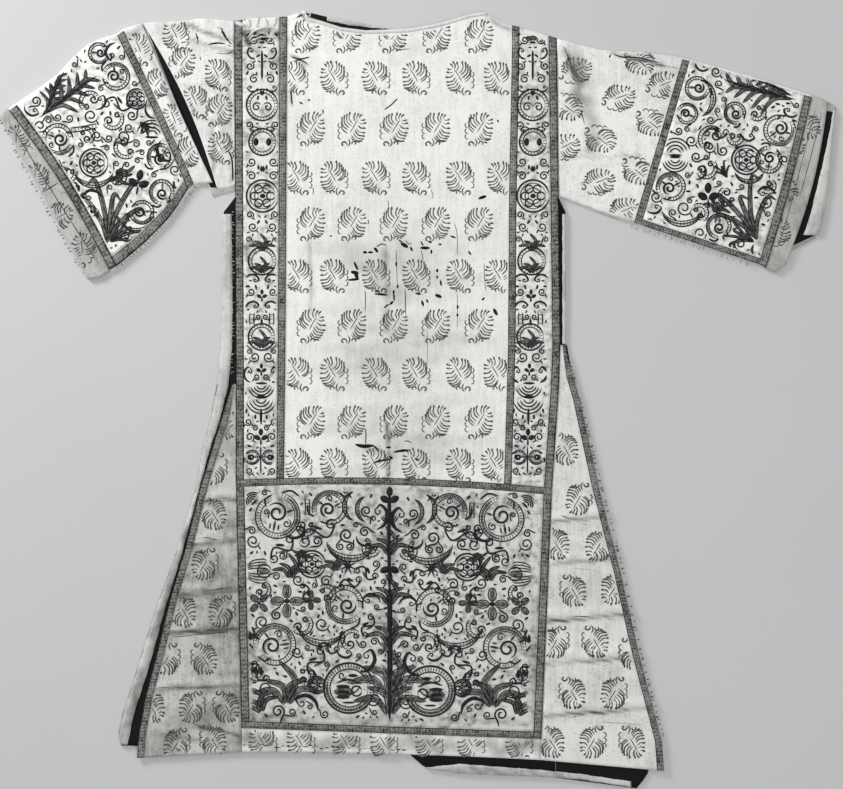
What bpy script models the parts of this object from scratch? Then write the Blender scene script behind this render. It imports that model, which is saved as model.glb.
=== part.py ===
"""Liturgical tunic with wide sleeves, laid flat with its front up and its neck toward +Y.

The back lies on the surface with its underside flat at z = 0. A lining lies on it where it shows,
and the front lies over both. Bands, apparels and galloons lie on the front and follow its points.

The plan is read on a square grid, x to the right and y down, whose step is PLAN_STEP.
"""

from collections import namedtuple

import bmesh
import bpy
import numpy as np

# Driving dimensions, in metres
PLAN_STEP = 0.0015
PLAN_CENTRE_X = 418.32
PLAN_CENTRE_Y = 399.54
SEAM_GAP = 0.0003
BACK_WALL = 0.0015
LINING_WALL = 0.0010
FACING_WALL = 0.0010
FRONT_WALL = 0.0017
TRIM_WALL = 0.0012

# Heights of the layers, in metres
LINING_BASE = BACK_WALL + SEAM_GAP
FACING_BASE = LINING_BASE + LINING_WALL + SEAM_GAP
FRONT_BASE = FACING_BASE
FRONT_TOP = FRONT_BASE + FRONT_WALL
SHOULDER_TOP = LINING_BASE + FRONT_WALL

# Widths of the woven galloons, in plan steps
OUTER_GALLOON = 8.0
INNER_GALLOON = 7.5
EDGE_GALLOON = 7.0
NECK_BINDING = 3.5
HALF_SEAM = SEAM_GAP / PLAN_STEP / 2

# Colours of the cloths, linear
DAMASK = (0.76, 0.75, 0.72)
GORE_DAMASK = (0.62, 0.61, 0.58)
CUFF_DAMASK = (0.50, 0.49, 0.46)
LINING = (0.020, 0.020, 0.022)
APPAREL_GROUND = (0.44, 0.43, 0.41)
GALLOON = (0.14, 0.135, 0.125)
BINDING = (0.66, 0.65, 0.62)

# Cross sections of the front's centre panel: its edges and the inner edges of its two orphreys.
# skew is how much lower the right end of a section lies, crown how much its middle dips,
# rows how many strips of cloth reach from it to the next section.
Section = namedtuple("Section", "y left inner_left inner_right right skew crown rows")
FRONT_SECTIONS = (
    Section(45, 234.5, 287.0, 512.0, 556.8, 0, 0, 5),
    Section(200, 235.2, 286.3, 509.0, 558.6, 0, 0, 5),
    Section(345, 235.8, 285.5, 508.0, 560.4, 0, 0, 1),
    Section(384, 236.0, 285.0, 507.0, 559.0, 2, -2, 3),
    Section(480, 236.0, 284.0, 504.0, 552.0, 8, -6, 1),
    Section(487, 236.3, 284.0, 504.0, 551.6, 8, -6, 8),
    Section(721, 241.5, 284.0, 500.0, 541.6, 11, 0, 1),
    Section(728, 241.6, 284.0, 500.0, 541.2, 11, 0, 1),
    Section(752, 242.0, 284.0, 500.0, 540.0, 8, -2, 0),
)
APPAREL_TOP_Y = 480
APPAREL_FOOT_Y = 721
TOP_ROWS = 2
NECK_COLUMN = 4
CENTRE_COLUMNS = (0.076, 0.10, 0.165, 0.24, 0.32, 0.41, 0.465, 0.52, 0.60, 0.69, 0.79, 0.88)

# Upper edge of the front and of the back, from the left shoulder over the neck to the right one
Top = namedtuple("Top", "x front back")
TOP_EDGE = (
    Top(234.0, 21.0, 21.4),
    Top(250.0, 18.2, 18.6),
    Top(287.0, 16.5, 16.9),
    Top(297.0, 13.0, 13.4),
    Top(304.0, 9.9, 10.2),
    Top(308.0, 17.2, 11.5),
    Top(324.0, 22.0, 15.6),
    Top(341.0, 27.5, 18.6),
    Top(366.0, 30.6, 23.8),
    Top(387.0, 29.8, 28.0),
    Top(410.0, 28.8, 30.4),
    Top(441.0, 23.0, 25.0),
    Top(471.0, 14.0, 16.0),
    Top(485.0, 12.0, 12.4),
    Top(505.0, 23.7, 24.1),
    Top(520.0, 27.0, 27.4),
    Top(540.0, 33.0, 33.4),
    Top(557.0, 38.2, 38.6),
)
NECK_LEFT_X = 303.5
NECK_RIGHT_X = 485.5

# Outer edges of the two front gores, which widen from a point below the underarm to the hem
Edge = namedtuple("Edge", "y x")
FRONT_GORE_LEFT = (
    Edge(384, 232.5),
    Edge(440, 215),
    Edge(490, 200),
    Edge(550, 185),
    Edge(600, 170),
    Edge(655, 157),
    Edge(700, 145),
    Edge(738, 138.5),
    Edge(758, 137),
)
FRONT_GORE_RIGHT = (
    Edge(345, 564),
    Edge(400, 580),
    Edge(488, 599),
    Edge(574, 621),
    Edge(652, 638.5),
    Edge(742, 662),
    Edge(771, 664),
)
GORE_COLUMNS = 5
LONG_STRIP = 20.0
GORE_HEM_LEFT_Y = 758
GORE_HEM_RIGHT_Y = 771

# The back lies a little to the left of the front and lower at the right of the hem
Back = namedtuple("Back", "y left right rows")
BACK_BODY = (
    Back(48, 234.5, 556.9, 2),
    Back(196, 235.2, 558.6, 1),
    Back(212, 223.0, 566.0, 2),
    Back(345, 220.5, 566.0, 1),
    Back(384, 218.5, 564.0, 5),
    Back(736, 222.0, 556.0, 0),
)
BACK_COLUMNS = 14
BACK_GORE_LEFT = (
    Edge(384, 216.5),
    Edge(420, 210),
    Edge(450, 202),
    Edge(490, 195),
    Edge(525, 185),
    Edge(555, 175),
    Edge(610, 155),
    Edge(665, 138),
    Edge(715, 122),
    Edge(735, 118),
    Edge(746, 121),
)
BACK_GORE_RIGHT = (
    Edge(345, 567.5),
    Edge(400, 577),
    Edge(488, 596),
    Edge(574, 618),
    Edge(652, 635),
    Edge(742, 655),
    Edge(776, 648),
    Edge(789, 637),
)
BACK_GORE_COLUMNS = 2
GORE_CORNER = 12.0
BACK_NECK_EASE = 5.0
LINING_INSET = 0.5
LINING_SHOULDER_Y = 50.0
Hem = namedtuple("Hem", "x y")
BACK_HEM = (
    Hem(121, 746),
    Hem(222, 750),
    Hem(300, 746),
    Hem(405, 751),
    Hem(426, 769),
    Hem(460, 774),
    Hem(500, 776),
    Hem(540, 777),
    Hem(580, 780),
    Hem(637, 789),
)

# Light facings that show along the back's edges: both edges of each strip
Strip = namedtuple("Strip", "y outer inner")
SIDE_FACING_LEFT = (
    Strip(214, 223.4, 231.5),
    Strip(300, 221.6, 232.5),
    Strip(345, 220.8, 232.0),
    Strip(384, 217.6, 228.5),
    Strip(420, 210.6, 219.5),
    Strip(450, 202.6, 209.5),
    Strip(490, 195.6, 198.8),
    Strip(555, 175.7, 181.5),
    Strip(610, 155.7, 164.5),
    Strip(665, 138.7, 149.5),
    Strip(715, 122.7, 133.5),
    Strip(735, 118.8, 129.5),
    Strip(744.6, 121.5, 127.5),
)
SIDE_FACING_RIGHT = (
    Strip(214, 565.6, 562.4),
    Strip(344, 565.6, 562.4),
)
CUFF_FACING_RIGHT = (
    Strip(110, 835.2, 833.4),
    Strip(133, 832.8, 829.5),
    Strip(161, 830.8, 823.5),
    Strip(192, 827.6, 816.0),
    Strip(217, 824.0, 810.0),
    Strip(235, 819.2, 803.5),
)
Band = namedtuple("Band", "x upper lower")
HEM_FACING = (
    Band(426, 767.6, 768.4),
    Band(460, 764.0, 773.4),
    Band(500, 767.0, 775.4),
    Band(540, 770.0, 776.4),
    Band(580, 774.0, 779.4),
    Band(631, 781.6, 787.2),
)
NECK_FACING = (
    Band(327, 16.6, 20.6),
    Band(349, 20.7, 25.0),
    Band(372, 25.6, 27.6),
    Band(384, 27.7, 28.9),
)

# Stations along the folded sleeves: the fold on top and the lower edges of the front and back
# halves. bow is how far the front half's section bends to the right of the straight line.
Station = namedtuple("Station", "top_x top_y front_x front_y back_x back_y bow")
SHOULDER_LEFT = (
    Station(234.2, 20.8, 235.0, 185.0, 235.0, 190.5, 0.0),
    Station(218.0, 19.6, 231.5, 186.8, 231.0, 191.0, 0.4),
    Station(200.0, 18.2, 228.0, 188.0, 227.0, 192.0, 1.2),
    Station(180.0, 21.0, 224.5, 189.0, 222.5, 193.2, 3.0),
    Station(160.0, 21.5, 220.8, 189.4, 217.5, 194.6, 5.0),
    Station(142.3, 22.6, 217.3, 189.0, 212.5, 196.5, 7.2),
)
SLEEVE_LEFT = (
    Station(141.7, 22.8, 212.5, 182.5, 206.8, 184.5, -1.0),
    Station(132.5, 25.5, 203.5, 183.5, 202.0, 185.0, 0.0),
    Station(122.5, 29.0, 194.0, 184.5, 194.5, 187.0, 1.0),
    Station(116.5, 33.5, 188.0, 189.5, 188.5, 191.5, 1.5),
    Station(101.0, 37.6, 178.0, 206.0, 179.0, 208.0, 2.0),
    Station(86.0, 45.0, 168.0, 219.5, 169.0, 221.5, 2.8),
    Station(72.0, 58.0, 156.0, 232.0, 157.0, 234.0, 3.5),
    Station(56.0, 75.3, 144.0, 244.0, 145.0, 246.0, 4.2),
    Station(36.0, 89.6, 131.0, 255.0, 132.0, 257.0, 4.8),
    Station(15.5, 103.2, 117.0, 266.5, 117.5, 268.0, 5.3),
    Station(8.0, 108.6, 110.0, 270.3, 110.3, 271.5, 5.3),
)
CUFF_LEFT = (
    Station(7.7, 108.9, 109.6, 270.6, 109.9, 271.8, 5.3),
    Station(3.6, 112.4, 101.0, 277.4, 101.0, 277.0, 3.4),
    Station(0.4, 117.0, 88.0, 279.6, 88.0, 279.0, 0.6),
)
SLEEVE_RIGHT = (
    Station(556.95, 38.4, 558.75, 196.0, 558.75, 196.0, 0.0),
    Station(577.0, 43.5, 571.0, 200.5, 571.0, 202.0, 0.0),
    Station(598.0, 49.0, 584.0, 205.5, 584.0, 207.0, 0.0),
    Station(618.0, 51.0, 597.0, 210.5, 597.0, 212.0, 0.0),
    Station(640.0, 51.5, 609.0, 215.0, 609.0, 216.5, 0.0),
    Station(662.0, 54.0, 622.0, 219.0, 622.0, 220.5, 0.0),
    Station(683.0, 57.3, 634.0, 223.0, 634.0, 224.5, 0.0),
    Station(690.0, 59.0, 641.0, 225.5, 641.0, 227.0, 0.0),
    Station(709.0, 64.5, 660.5, 232.0, 660.5, 233.0, 0.5),
    Station(729.0, 70.0, 680.0, 238.5, 680.0, 239.5, 1.0),
    Station(748.0, 75.0, 700.0, 245.0, 700.0, 245.5, 1.5),
    Station(768.0, 81.0, 719.0, 251.5, 719.0, 251.0, 2.0),
    Station(787.0, 87.0, 739.0, 258.0, 739.0, 256.0, 2.0),
    Station(805.0, 93.0, 758.5, 264.5, 758.5, 260.0, 2.0),
    Station(812.0, 95.0, 765.5, 268.5, 766.0, 262.0, 2.0),
)
CUFF_RIGHT = (
    Station(812.3, 95.2, 765.8, 268.8, 766.3, 262.0, 2.0),
    Station(820.0, 98.0, 775.5, 272.5, 790.0, 252.0, 4.0),
    Station(828.0, 101.5, 786.0, 264.0, 815.5, 238.0, 6.0),
)
CUFF_RIGHT_BACK_SHIFTS = ((0.0, 0.0), (2.5, 1.0), (8.5, 5.0))
LEFT_SLEEVE_GALLOONS = (2, 3, 9, 10)
RIGHT_SLEEVE_GALLOONS = (6, 7, 13, 14)
SLEEVE_FRONT_STEPS = (0.10, 0.22, 0.36, 0.50, 0.64, 0.80)
SLEEVE_BACK_STEPS = (1.0, 0.70, 0.35)
FOLD_ANGLES = (-90, -45, 0, 45, 90)
LEFT_UNDERARM_GALLOON = 0.945
RIGHT_UNDERARM_GALLOON = 0.965

# Linings that show in the open seam of the left sleeve and inside the right cuff: straight lines
# from top to bottom, in order from left to right
Line = namedtuple("Line", "top_x top_y low_x low_y")
LINING_SHOULDER_LEFT = (
    Line(147.5, 31.0, 210.5, 188.0),
    Line(163.0, 31.0, 228.0, 186.5),
)
LINING_CUFF_RIGHT = (
    Line(803.0, 108.0, 776.0, 250.0),
    Line(817.0, 109.0, 792.0, 246.0),
    Line(834.0, 112.0, 813.5, 236.0),
)

# The largest folds of the front: soft ridges along straight lines, height in metres
Fold = namedtuple("Fold", "x0 y0 x1 y1 half_width height")
FOLDS = (
    Fold(389, 430, 389, 760, 12, 0.0022),
    Fold(160, 500, 240, 497, 9, 0.0030),
    Fold(150, 541, 240, 538, 8, 0.0034),
    Fold(140, 592, 240, 588, 9, 0.0036),
    Fold(135, 637, 240, 632, 8, 0.0030),
    Fold(130, 690, 240, 684, 10, 0.0028),
    Fold(548, 522, 610, 516, 9, 0.0026),
    Fold(548, 562, 622, 556, 8, 0.0030),
    Fold(546, 620, 634, 613, 9, 0.0028),
    Fold(544, 662, 642, 655, 8, 0.0026),
    Fold(540, 714, 652, 708, 9, 0.0028),
    Fold(594, 52, 600, 150, 16, 0.0038),
    Fold(612, 58, 668, 74, 10, 0.0030),
    Fold(184, 26, 234, 44, 8, 0.0032),
    Fold(110, 60, 170, 190, 16, 0.0026),
)
PUFF_HEIGHT = 0.0030
Puff = namedtuple("Puff", "x y reach_x reach_y")
PUFFS = (
    Puff(340, 250, 90, 190),
    Puff(455, 260, 70, 200),
    Puff(320, 600, 70, 110),
    Puff(470, 610, 70, 110),
    Puff(190, 90, 50, 70),
    Puff(100, 150, 80, 80),
    Puff(700, 150, 110, 80),
)
FOLD_EASE = 20.0


def clear_scene():
    """Remove whatever the file opened with."""
    for thing in list(bpy.data.objects):
        bpy.data.objects.remove(thing, do_unlink=True)


def place(x, y, z):
    """Point in metres from a place on the plan and a height."""
    return np.array(((x - PLAN_CENTRE_X) * PLAN_STEP, (PLAN_CENTRE_Y - y) * PLAN_STEP, z))


def read(table, key, column, where):
    """A column's value at a place along the key column, straight between the rows."""
    keys = [getattr(row, key) for row in table]
    values = [getattr(row, column) for row in table]
    return float(np.interp(where, keys, values))


def soft_step(value):
    """Smooth rise from 0 to 1 as value goes from 0 to 1."""
    value = min(max(value, 0.0), 1.0)
    return value * value * (3 - 2 * value)


def fold_height(x, y):
    """Height that the folds and the air under the cloth add at a place on the plan."""
    height = 0.0
    for puff in PUFFS:
        far = np.hypot((x - puff.x) / puff.reach_x, (y - puff.y) / puff.reach_y)
        height += PUFF_HEIGHT * soft_step(1 - far)
    for fold in FOLDS:
        run = np.array((fold.x1 - fold.x0, fold.y1 - fold.y0), dtype=float)
        length = np.hypot(*run)
        along = np.dot((x - fold.x0, y - fold.y0), run) / length
        across = np.dot((x - fold.x0, y - fold.y0), (-run[1], run[0])) / length
        fade = soft_step((along + fold.half_width) / fold.half_width)
        fade *= soft_step((length - along + fold.half_width) / fold.half_width)
        height += fold.height * fade * soft_step(1 - abs(across) / fold.half_width)
    return height


def make_cloth(name, outer, inner, colour, roughness=0.8):
    """Closed piece of cloth between two matching grids of points, joined round the rim."""
    outer = np.asarray(outer, dtype=float)
    inner = np.asarray(inner, dtype=float)
    rows, columns = outer.shape[:2]
    shape = bmesh.new()
    faces = [[shape.verts.new(point) for point in line] for line in outer]
    backs = [[shape.verts.new(point) for point in line] for line in inner]
    for i in range(rows - 1):
        for j in range(columns - 1):
            for side in (faces, backs):
                shape.faces.new((side[i][j], side[i + 1][j], side[i + 1][j + 1]))
                shape.faces.new((side[i][j], side[i + 1][j + 1], side[i][j + 1]))
    rim = [(i, 0) for i in range(rows)]
    rim += [(rows - 1, j) for j in range(1, columns)]
    rim += [(i, columns - 1) for i in range(rows - 2, -1, -1)]
    rim += [(0, j) for j in range(columns - 2, 0, -1)]
    for (i, j), (k, m) in zip(rim, rim[1:] + rim[:1]):
        shape.faces.new((faces[i][j], faces[k][m], backs[k][m]))
        shape.faces.new((faces[i][j], backs[k][m], backs[i][j]))
    bmesh.ops.recalc_face_normals(shape, faces=shape.faces)
    mesh = bpy.data.meshes.new(name)
    shape.to_mesh(mesh)
    shape.free()
    piece = bpy.data.objects.new(name, mesh)
    bpy.context.scene.collection.objects.link(piece)
    mesh.materials.append(make_material(name, colour, roughness))
    return piece


def make_material(name, colour, roughness):
    """Plain cloth material."""
    material = bpy.data.materials.new(name)
    material.use_nodes = True
    shader = material.node_tree.nodes["Principled BSDF"]
    shader.inputs["Base Color"].default_value = (*colour, 1.0)
    shader.inputs["Roughness"].default_value = roughness
    shader.inputs["Metallic"].default_value = 0.0
    return material


def make_sheet(name, top, wall, colour):
    """Piece of cloth of one wall below a grid of points."""
    top = np.asarray(top, dtype=float)
    return make_cloth(name, top, top - (0, 0, wall), colour)


def make_trim(name, panel, rows, columns, colour):
    """Band that lies on part of a panel: the panel's own points, moved out and drawn in at the rim."""
    part = np.array(panel)[rows[0]:rows[1] + 1, columns[0]:columns[1] + 1]
    for edge, beside in ((0, 1), (-1, -2)):
        along = part[beside] - part[edge]
        part[edge] = part[edge] + along / np.linalg.norm(along, axis=1, keepdims=True) * SEAM_GAP / 2
    for edge, beside in ((0, 1), (-1, -2)):
        along = part[:, beside] - part[:, edge]
        part[:, edge] = part[:, edge] + along / np.linalg.norm(along, axis=1, keepdims=True) * SEAM_GAP / 2
    return make_cloth(name, part + (0, 0, SEAM_GAP + TRIM_WALL), part + (0, 0, SEAM_GAP), colour)


def front_rows():
    """The front panel's sections with the strips between them filled in."""
    rows = []
    for start, end in zip(FRONT_SECTIONS, FRONT_SECTIONS[1:]):
        for step in range(start.rows):
            share = step / start.rows
            values = [a + (b - a) * share for a, b in zip(start, end)]
            rows.append(Section(*values))
    rows.append(FRONT_SECTIONS[-1])
    return rows


def front_columns(row):
    """Places across one row: galloon edges, the centre columns, galloon edges."""
    middle = [row.inner_left + (row.inner_right - row.inner_left) * share for share in CENTRE_COLUMNS]
    left = [row.left, row.left + OUTER_GALLOON, row.inner_left - INNER_GALLOON, row.inner_left]
    right = [row.inner_right, row.inner_right + INNER_GALLOON, row.right - OUTER_GALLOON, row.right]
    return left + middle + right


def front_grid():
    """Points on top of the front's centre panel, from the shoulders and neck to the hem."""
    rows = front_rows()
    grid = []
    for inset in (0.0, NECK_BINDING):
        line = []
        for x in front_columns(rows[0]):
            y = read(TOP_EDGE, "x", "front", x) + inset
            at_neck = NECK_LEFT_X < x < NECK_RIGHT_X
            line.append(place(x, y, FRONT_TOP if at_neck else SHOULDER_TOP))
        grid.append(line)
    for row in rows:
        line = []
        for x in front_columns(row):
            share = (x - row.left) / (row.right - row.left)
            y = row.y + row.skew * share + row.crown * 4 * share * (1 - share)
            line.append(place(x, y, FRONT_TOP + fold_height(x, y)))
        grid.append(line)
    grid = np.array(grid)
    grid[:, 0, 0] += SEAM_GAP / 2
    grid[:, -1, 0] -= SEAM_GAP / 2
    return grid


def front_row_index(y):
    """Index in the front's grid of the section that starts at y."""
    return TOP_ROWS + [row.y for row in front_rows()].index(y)


def seam_line(side, from_y):
    """The front panel's side seam from a height down to the hem, as places on the plan."""
    points = []
    for row in front_rows():
        x, y = (row.left, row.y) if side == "left" else (row.right, row.y + row.skew)
        if y >= from_y:
            points.append((x, y))
    return points


def gore_grid(side, edge, hem_y):
    """Points on top of a front gore, from its seam with the front to its outer edge."""
    top_y = edge[0].y
    seam = seam_line(side, top_y)
    pairs = [(a, b) for a, b in zip(seam, seam[1:]) if b[1] - a[1] > LONG_STRIP]
    seam += [((a[0] + b[0]) / 2, (a[1] + b[1]) / 2) for a, b in pairs]
    seam.sort(key=lambda point: point[1])
    last_y = seam[-1][1]
    sign = -1 if side == "left" else 1
    grid = []
    for x, y in seam:
        drop = (hem_y - last_y) * (y - top_y) / (last_y - top_y)
        outer_x = read(edge, "y", "x", y + drop)
        start = x + sign * HALF_SEAM
        width = abs(outer_x - start)
        plain = width - min(EDGE_GALLOON, width / 2)
        stops = [plain * step / (GORE_COLUMNS - 1) for step in range(GORE_COLUMNS)] + [width]
        line = []
        for stop in stops:
            at_x = start + sign * stop
            at_y = y + drop * stop / width
            line.append(place(at_x, at_y, FRONT_TOP + fold_height(at_x, at_y)))
        grid.append(line)
    return np.array(grid)


def back_rows():
    """The back panel's sections with the strips between them filled in."""
    rows = []
    for start, end in zip(BACK_BODY, BACK_BODY[1:]):
        for step in range(start.rows):
            share = step / start.rows
            rows.append([a + (b - a) * share for a, b in zip(start[:3], end[:3])])
    rows.append(list(BACK_BODY[-1][:3]))
    return rows


def back_grid(inset, top_z, shoulder_y=None):
    """Points of the back's centre panel at one height, drawn in from its edges by inset."""
    rows = back_rows()
    shares = np.linspace(0, 1, BACK_COLUMNS + 1)
    levels = [[row[1] + inset + (row[2] - row[1] - 2 * inset) * share for share in shares] for row in rows]
    top = []
    for x in levels[0]:
        y = read(TOP_EDGE, "x", "back", x) + inset
        at_neck = NECK_LEFT_X + BACK_NECK_EASE < x < NECK_RIGHT_X - BACK_NECK_EASE
        top.append(place(x, y if at_neck or shoulder_y is None else shoulder_y, top_z))
    grid = [top]
    for row, line in zip(rows[1:], levels[1:]):
        grid.append([place(x, row[0], top_z) for x in line])
    grid.append([place(x, read(BACK_HEM, "x", "y", x) - inset, top_z) for x in levels[-1]])
    return np.array(grid)


def back_gore_grid(side, edge, inset, top_z):
    """Points of a back gore at one height, from its seam with the back to its outer edge."""
    sign = -1 if side == "left" else 1
    column = 1 if side == "left" else 2
    seam = [(row[0], row[column]) for row in back_rows() if row[0] >= edge[0].y]
    seam.append((read(BACK_HEM, "x", "y", seam[-1][1]), seam[-1][1]))
    top_y, last_y = seam[0][0], seam[-1][0]
    levels = sorted({y for y, _ in seam} | {row.y for row in edge if row.y < last_y - GORE_CORNER})
    grid = []
    for y in levels:
        share = (y - top_y) / (last_y - top_y)
        outer_y = y + (edge[-1].y - last_y) * share
        start = float(np.interp(y, *zip(*seam))) + sign * HALF_SEAM
        outer = read(edge, "y", "x", outer_y) - sign * inset
        line = []
        for step in np.linspace(0, 1, BACK_GORE_COLUMNS + 1):
            at_y = y + (outer_y - y) * step - inset * share
            line.append(place(start + (outer - start) * step, at_y, top_z))
        grid.append(line)
    return np.array(grid)


def strip_grid(strips, top_z):
    """Points of a narrow facing between the two edges that its table gives."""
    if hasattr(strips[0], "outer"):
        return [[place(row.outer, row.y, top_z), place(row.inner, row.y, top_z)] for row in strips]
    return [[place(row.x, row.upper, top_z), place(row.x, row.lower, top_z)] for row in strips]


def sleeve_section(station, underarm, back_shift):
    """Outer and inner points round one section: back edge, fold on top, front edge."""
    radius = FRONT_TOP / 2
    top = np.array((station.top_x, station.top_y))
    back_top = top + back_shift
    front = np.array((station.front_x, station.front_y))
    back = np.array((station.back_x, station.back_y))
    front_run = front - top
    back_run = back - back_top
    front_way = front_run / np.hypot(*front_run)
    back_way = back_run / np.hypot(*back_run)
    sideways = np.array((-front_way[1], front_way[0])) * -1
    outer = []
    inner = []
    for share in SLEEVE_BACK_STEPS:
        spot = back_top + back_run * share
        outer.append(place(*spot, 0.0))
        inner.append(place(*spot, BACK_WALL))
    for angle in np.radians(FOLD_ANGLES):
        blend = (np.sin(angle) + 1) / 2
        start = back_top * (1 - blend) + top * blend
        way = back_way * (1 - blend) + front_way * blend
        inner_radius = radius - (BACK_WALL * (1 - blend) + FRONT_WALL * blend)
        reach = (radius - radius * np.cos(angle)) / PLAN_STEP
        outer.append(place(*(start + way * reach), radius + radius * np.sin(angle)))
        reach = (radius - inner_radius * np.cos(angle)) / PLAN_STEP
        inner.append(place(*(start + way * reach), radius + inner_radius * np.sin(angle)))
    for share in SLEEVE_FRONT_STEPS + (underarm, 1.0):
        spot = top + front_run * share + sideways * station.bow * np.sin(np.pi * share)
        ease = soft_step(np.hypot(*front_run) * share / FOLD_EASE)
        z = FRONT_TOP + fold_height(*spot) * ease
        outer.append(place(*spot, z))
        inner.append(place(*spot, z - FRONT_WALL))
    return outer, inner


def make_sleeve(name, stations, underarm, colour, back_shifts=None):
    """Sleeve piece folded along its top and open below; returns the points on its outside."""
    outer = []
    inner = []
    for index, station in enumerate(stations):
        shift = np.array(back_shifts[index] if back_shifts else (0.0, 0.0))
        outside, inside = sleeve_section(station, underarm, shift)
        outer.append(outside)
        inner.append(inside)
    make_cloth(name, outer, inner, colour)
    return np.array(outer)


def make_sleeve_lining(name, lines):
    """Piece of lining that lies on the back half of a sleeve."""
    top_z = LINING_BASE + LINING_WALL
    grid = [[place(line.top_x, line.top_y, top_z), place(line.low_x, line.low_y, top_z)] for line in lines]
    make_sheet(name, grid, LINING_WALL, LINING)


def make_back():
    """Back panel and its two gores, whose undersides lie flat."""
    make_sheet("back_body", back_grid(HALF_SEAM, BACK_WALL), BACK_WALL, DAMASK)
    for side, edge in (("left", BACK_GORE_LEFT), ("right", BACK_GORE_RIGHT)):
        grid = back_gore_grid(side, edge, 0.0, BACK_WALL)
        make_sheet("back_gore_" + side, grid, BACK_WALL, GORE_DAMASK)


def make_linings():
    """Dark lining on the back, where the front leaves it bare."""
    top_z = LINING_BASE + LINING_WALL
    make_sheet("lining_body", back_grid(LINING_INSET, top_z, LINING_SHOULDER_Y), LINING_WALL, LINING)
    for side, edge in (("left", BACK_GORE_LEFT), ("right", BACK_GORE_RIGHT)):
        grid = back_gore_grid(side, edge, LINING_INSET, top_z)
        make_sheet("lining_gore_" + side, grid, LINING_WALL, LINING)
    make_sleeve_lining("lining_shoulder_left", LINING_SHOULDER_LEFT)
    make_sleeve_lining("lining_cuff_right", LINING_CUFF_RIGHT)


def make_facings():
    """Light facings along the edges of the back that show beyond the front."""
    top_z = FACING_BASE + FACING_WALL
    facings = (
        ("facing_side_left", SIDE_FACING_LEFT),
        ("facing_side_right", SIDE_FACING_RIGHT),
        ("facing_cuff_right", CUFF_FACING_RIGHT),
        ("facing_hem", HEM_FACING),
        ("facing_neck", NECK_FACING),
    )
    for name, table in facings:
        make_sheet(name, strip_grid(table, top_z), FACING_WALL, BINDING)


def make_front():
    """Front panel with its neck binding, orphreys and square apparel, and the two gores."""
    front = front_grid()
    last = front.shape[1] - 1
    apparel_top = front_row_index(APPAREL_TOP_Y)
    frame_top = apparel_top + 1
    frame_foot = front_row_index(APPAREL_FOOT_Y)
    make_sheet("front_body", front, FRONT_WALL, DAMASK)
    make_trim("neck_binding", front, (0, 1), (NECK_COLUMN, last - NECK_COLUMN), BINDING)
    down = (0, apparel_top)
    make_trim("orphrey_left", front, down, (1, 2), APPAREL_GROUND)
    make_trim("orphrey_right", front, down, (last - 2, last - 1), APPAREL_GROUND)
    make_trim("galloon_left_outer", front, down, (0, 1), GALLOON)
    make_trim("galloon_left_inner", front, down, (2, 3), GALLOON)
    make_trim("galloon_right_inner", front, down, (last - 3, last - 2), GALLOON)
    make_trim("galloon_right_outer", front, down, (last - 1, last), GALLOON)
    make_trim("apparel_front", front, (frame_top, frame_foot), (1, last - 1), APPAREL_GROUND)
    make_trim("frame_top", front, (apparel_top, frame_top), (0, last), GALLOON)
    make_trim("frame_bottom", front, (frame_foot, frame_foot + 1), (0, last), GALLOON)
    make_trim("frame_left", front, (frame_top, frame_foot), (0, 1), GALLOON)
    make_trim("frame_right", front, (frame_top, frame_foot), (last - 1, last), GALLOON)
    gores = (("left", FRONT_GORE_LEFT, GORE_HEM_LEFT_Y), ("right", FRONT_GORE_RIGHT, GORE_HEM_RIGHT_Y))
    for side, edge, hem_y in gores:
        gore = gore_grid(side, edge, hem_y)
        make_sheet("front_gore_" + side, gore, FRONT_WALL, GORE_DAMASK)
        edge_band = (GORE_COLUMNS - 1, GORE_COLUMNS)
        make_trim("galloon_gore_" + side, gore, (0, len(gore) - 1), edge_band, GALLOON)


def make_sleeve_trims(side, sleeve, galloons):
    """Apparel of a sleeve with a galloon on each side of it and one along the underarm edge."""
    near, near_end, far, far_end = galloons
    fold = len(SLEEVE_BACK_STEPS) + len(FOLD_ANGLES) - 1
    edge = sleeve.shape[1] - 1
    make_trim("galloon_near_" + side, sleeve, (near, near_end), (fold, edge), GALLOON)
    make_trim("galloon_far_" + side, sleeve, (far, far_end), (fold, edge), GALLOON)
    make_trim("apparel_sleeve_" + side, sleeve, (near_end, far), (fold, edge - 1), APPAREL_GROUND)
    make_trim("galloon_underarm_" + side, sleeve, (near_end, far), (edge - 1, edge), GALLOON)


def make_sleeves():
    """Left shoulder piece, both sleeves with their trims, and both cuffs."""
    make_sleeve("shoulder_left", SHOULDER_LEFT, LEFT_UNDERARM_GALLOON, DAMASK)
    left = make_sleeve("sleeve_left", SLEEVE_LEFT, LEFT_UNDERARM_GALLOON, DAMASK)
    right = make_sleeve("sleeve_right", SLEEVE_RIGHT, RIGHT_UNDERARM_GALLOON, DAMASK)
    make_sleeve("cuff_left", CUFF_LEFT, LEFT_UNDERARM_GALLOON, CUFF_DAMASK)
    make_sleeve("cuff_right", CUFF_RIGHT, RIGHT_UNDERARM_GALLOON, CUFF_DAMASK, CUFF_RIGHT_BACK_SHIFTS)
    make_sleeve_trims("left", left, LEFT_SLEEVE_GALLOONS)
    make_sleeve_trims("right", right, RIGHT_SLEEVE_GALLOONS)


clear_scene()
make_back()
make_linings()
make_facings()
make_front()
make_sleeves()
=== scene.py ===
import math
import random

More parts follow.
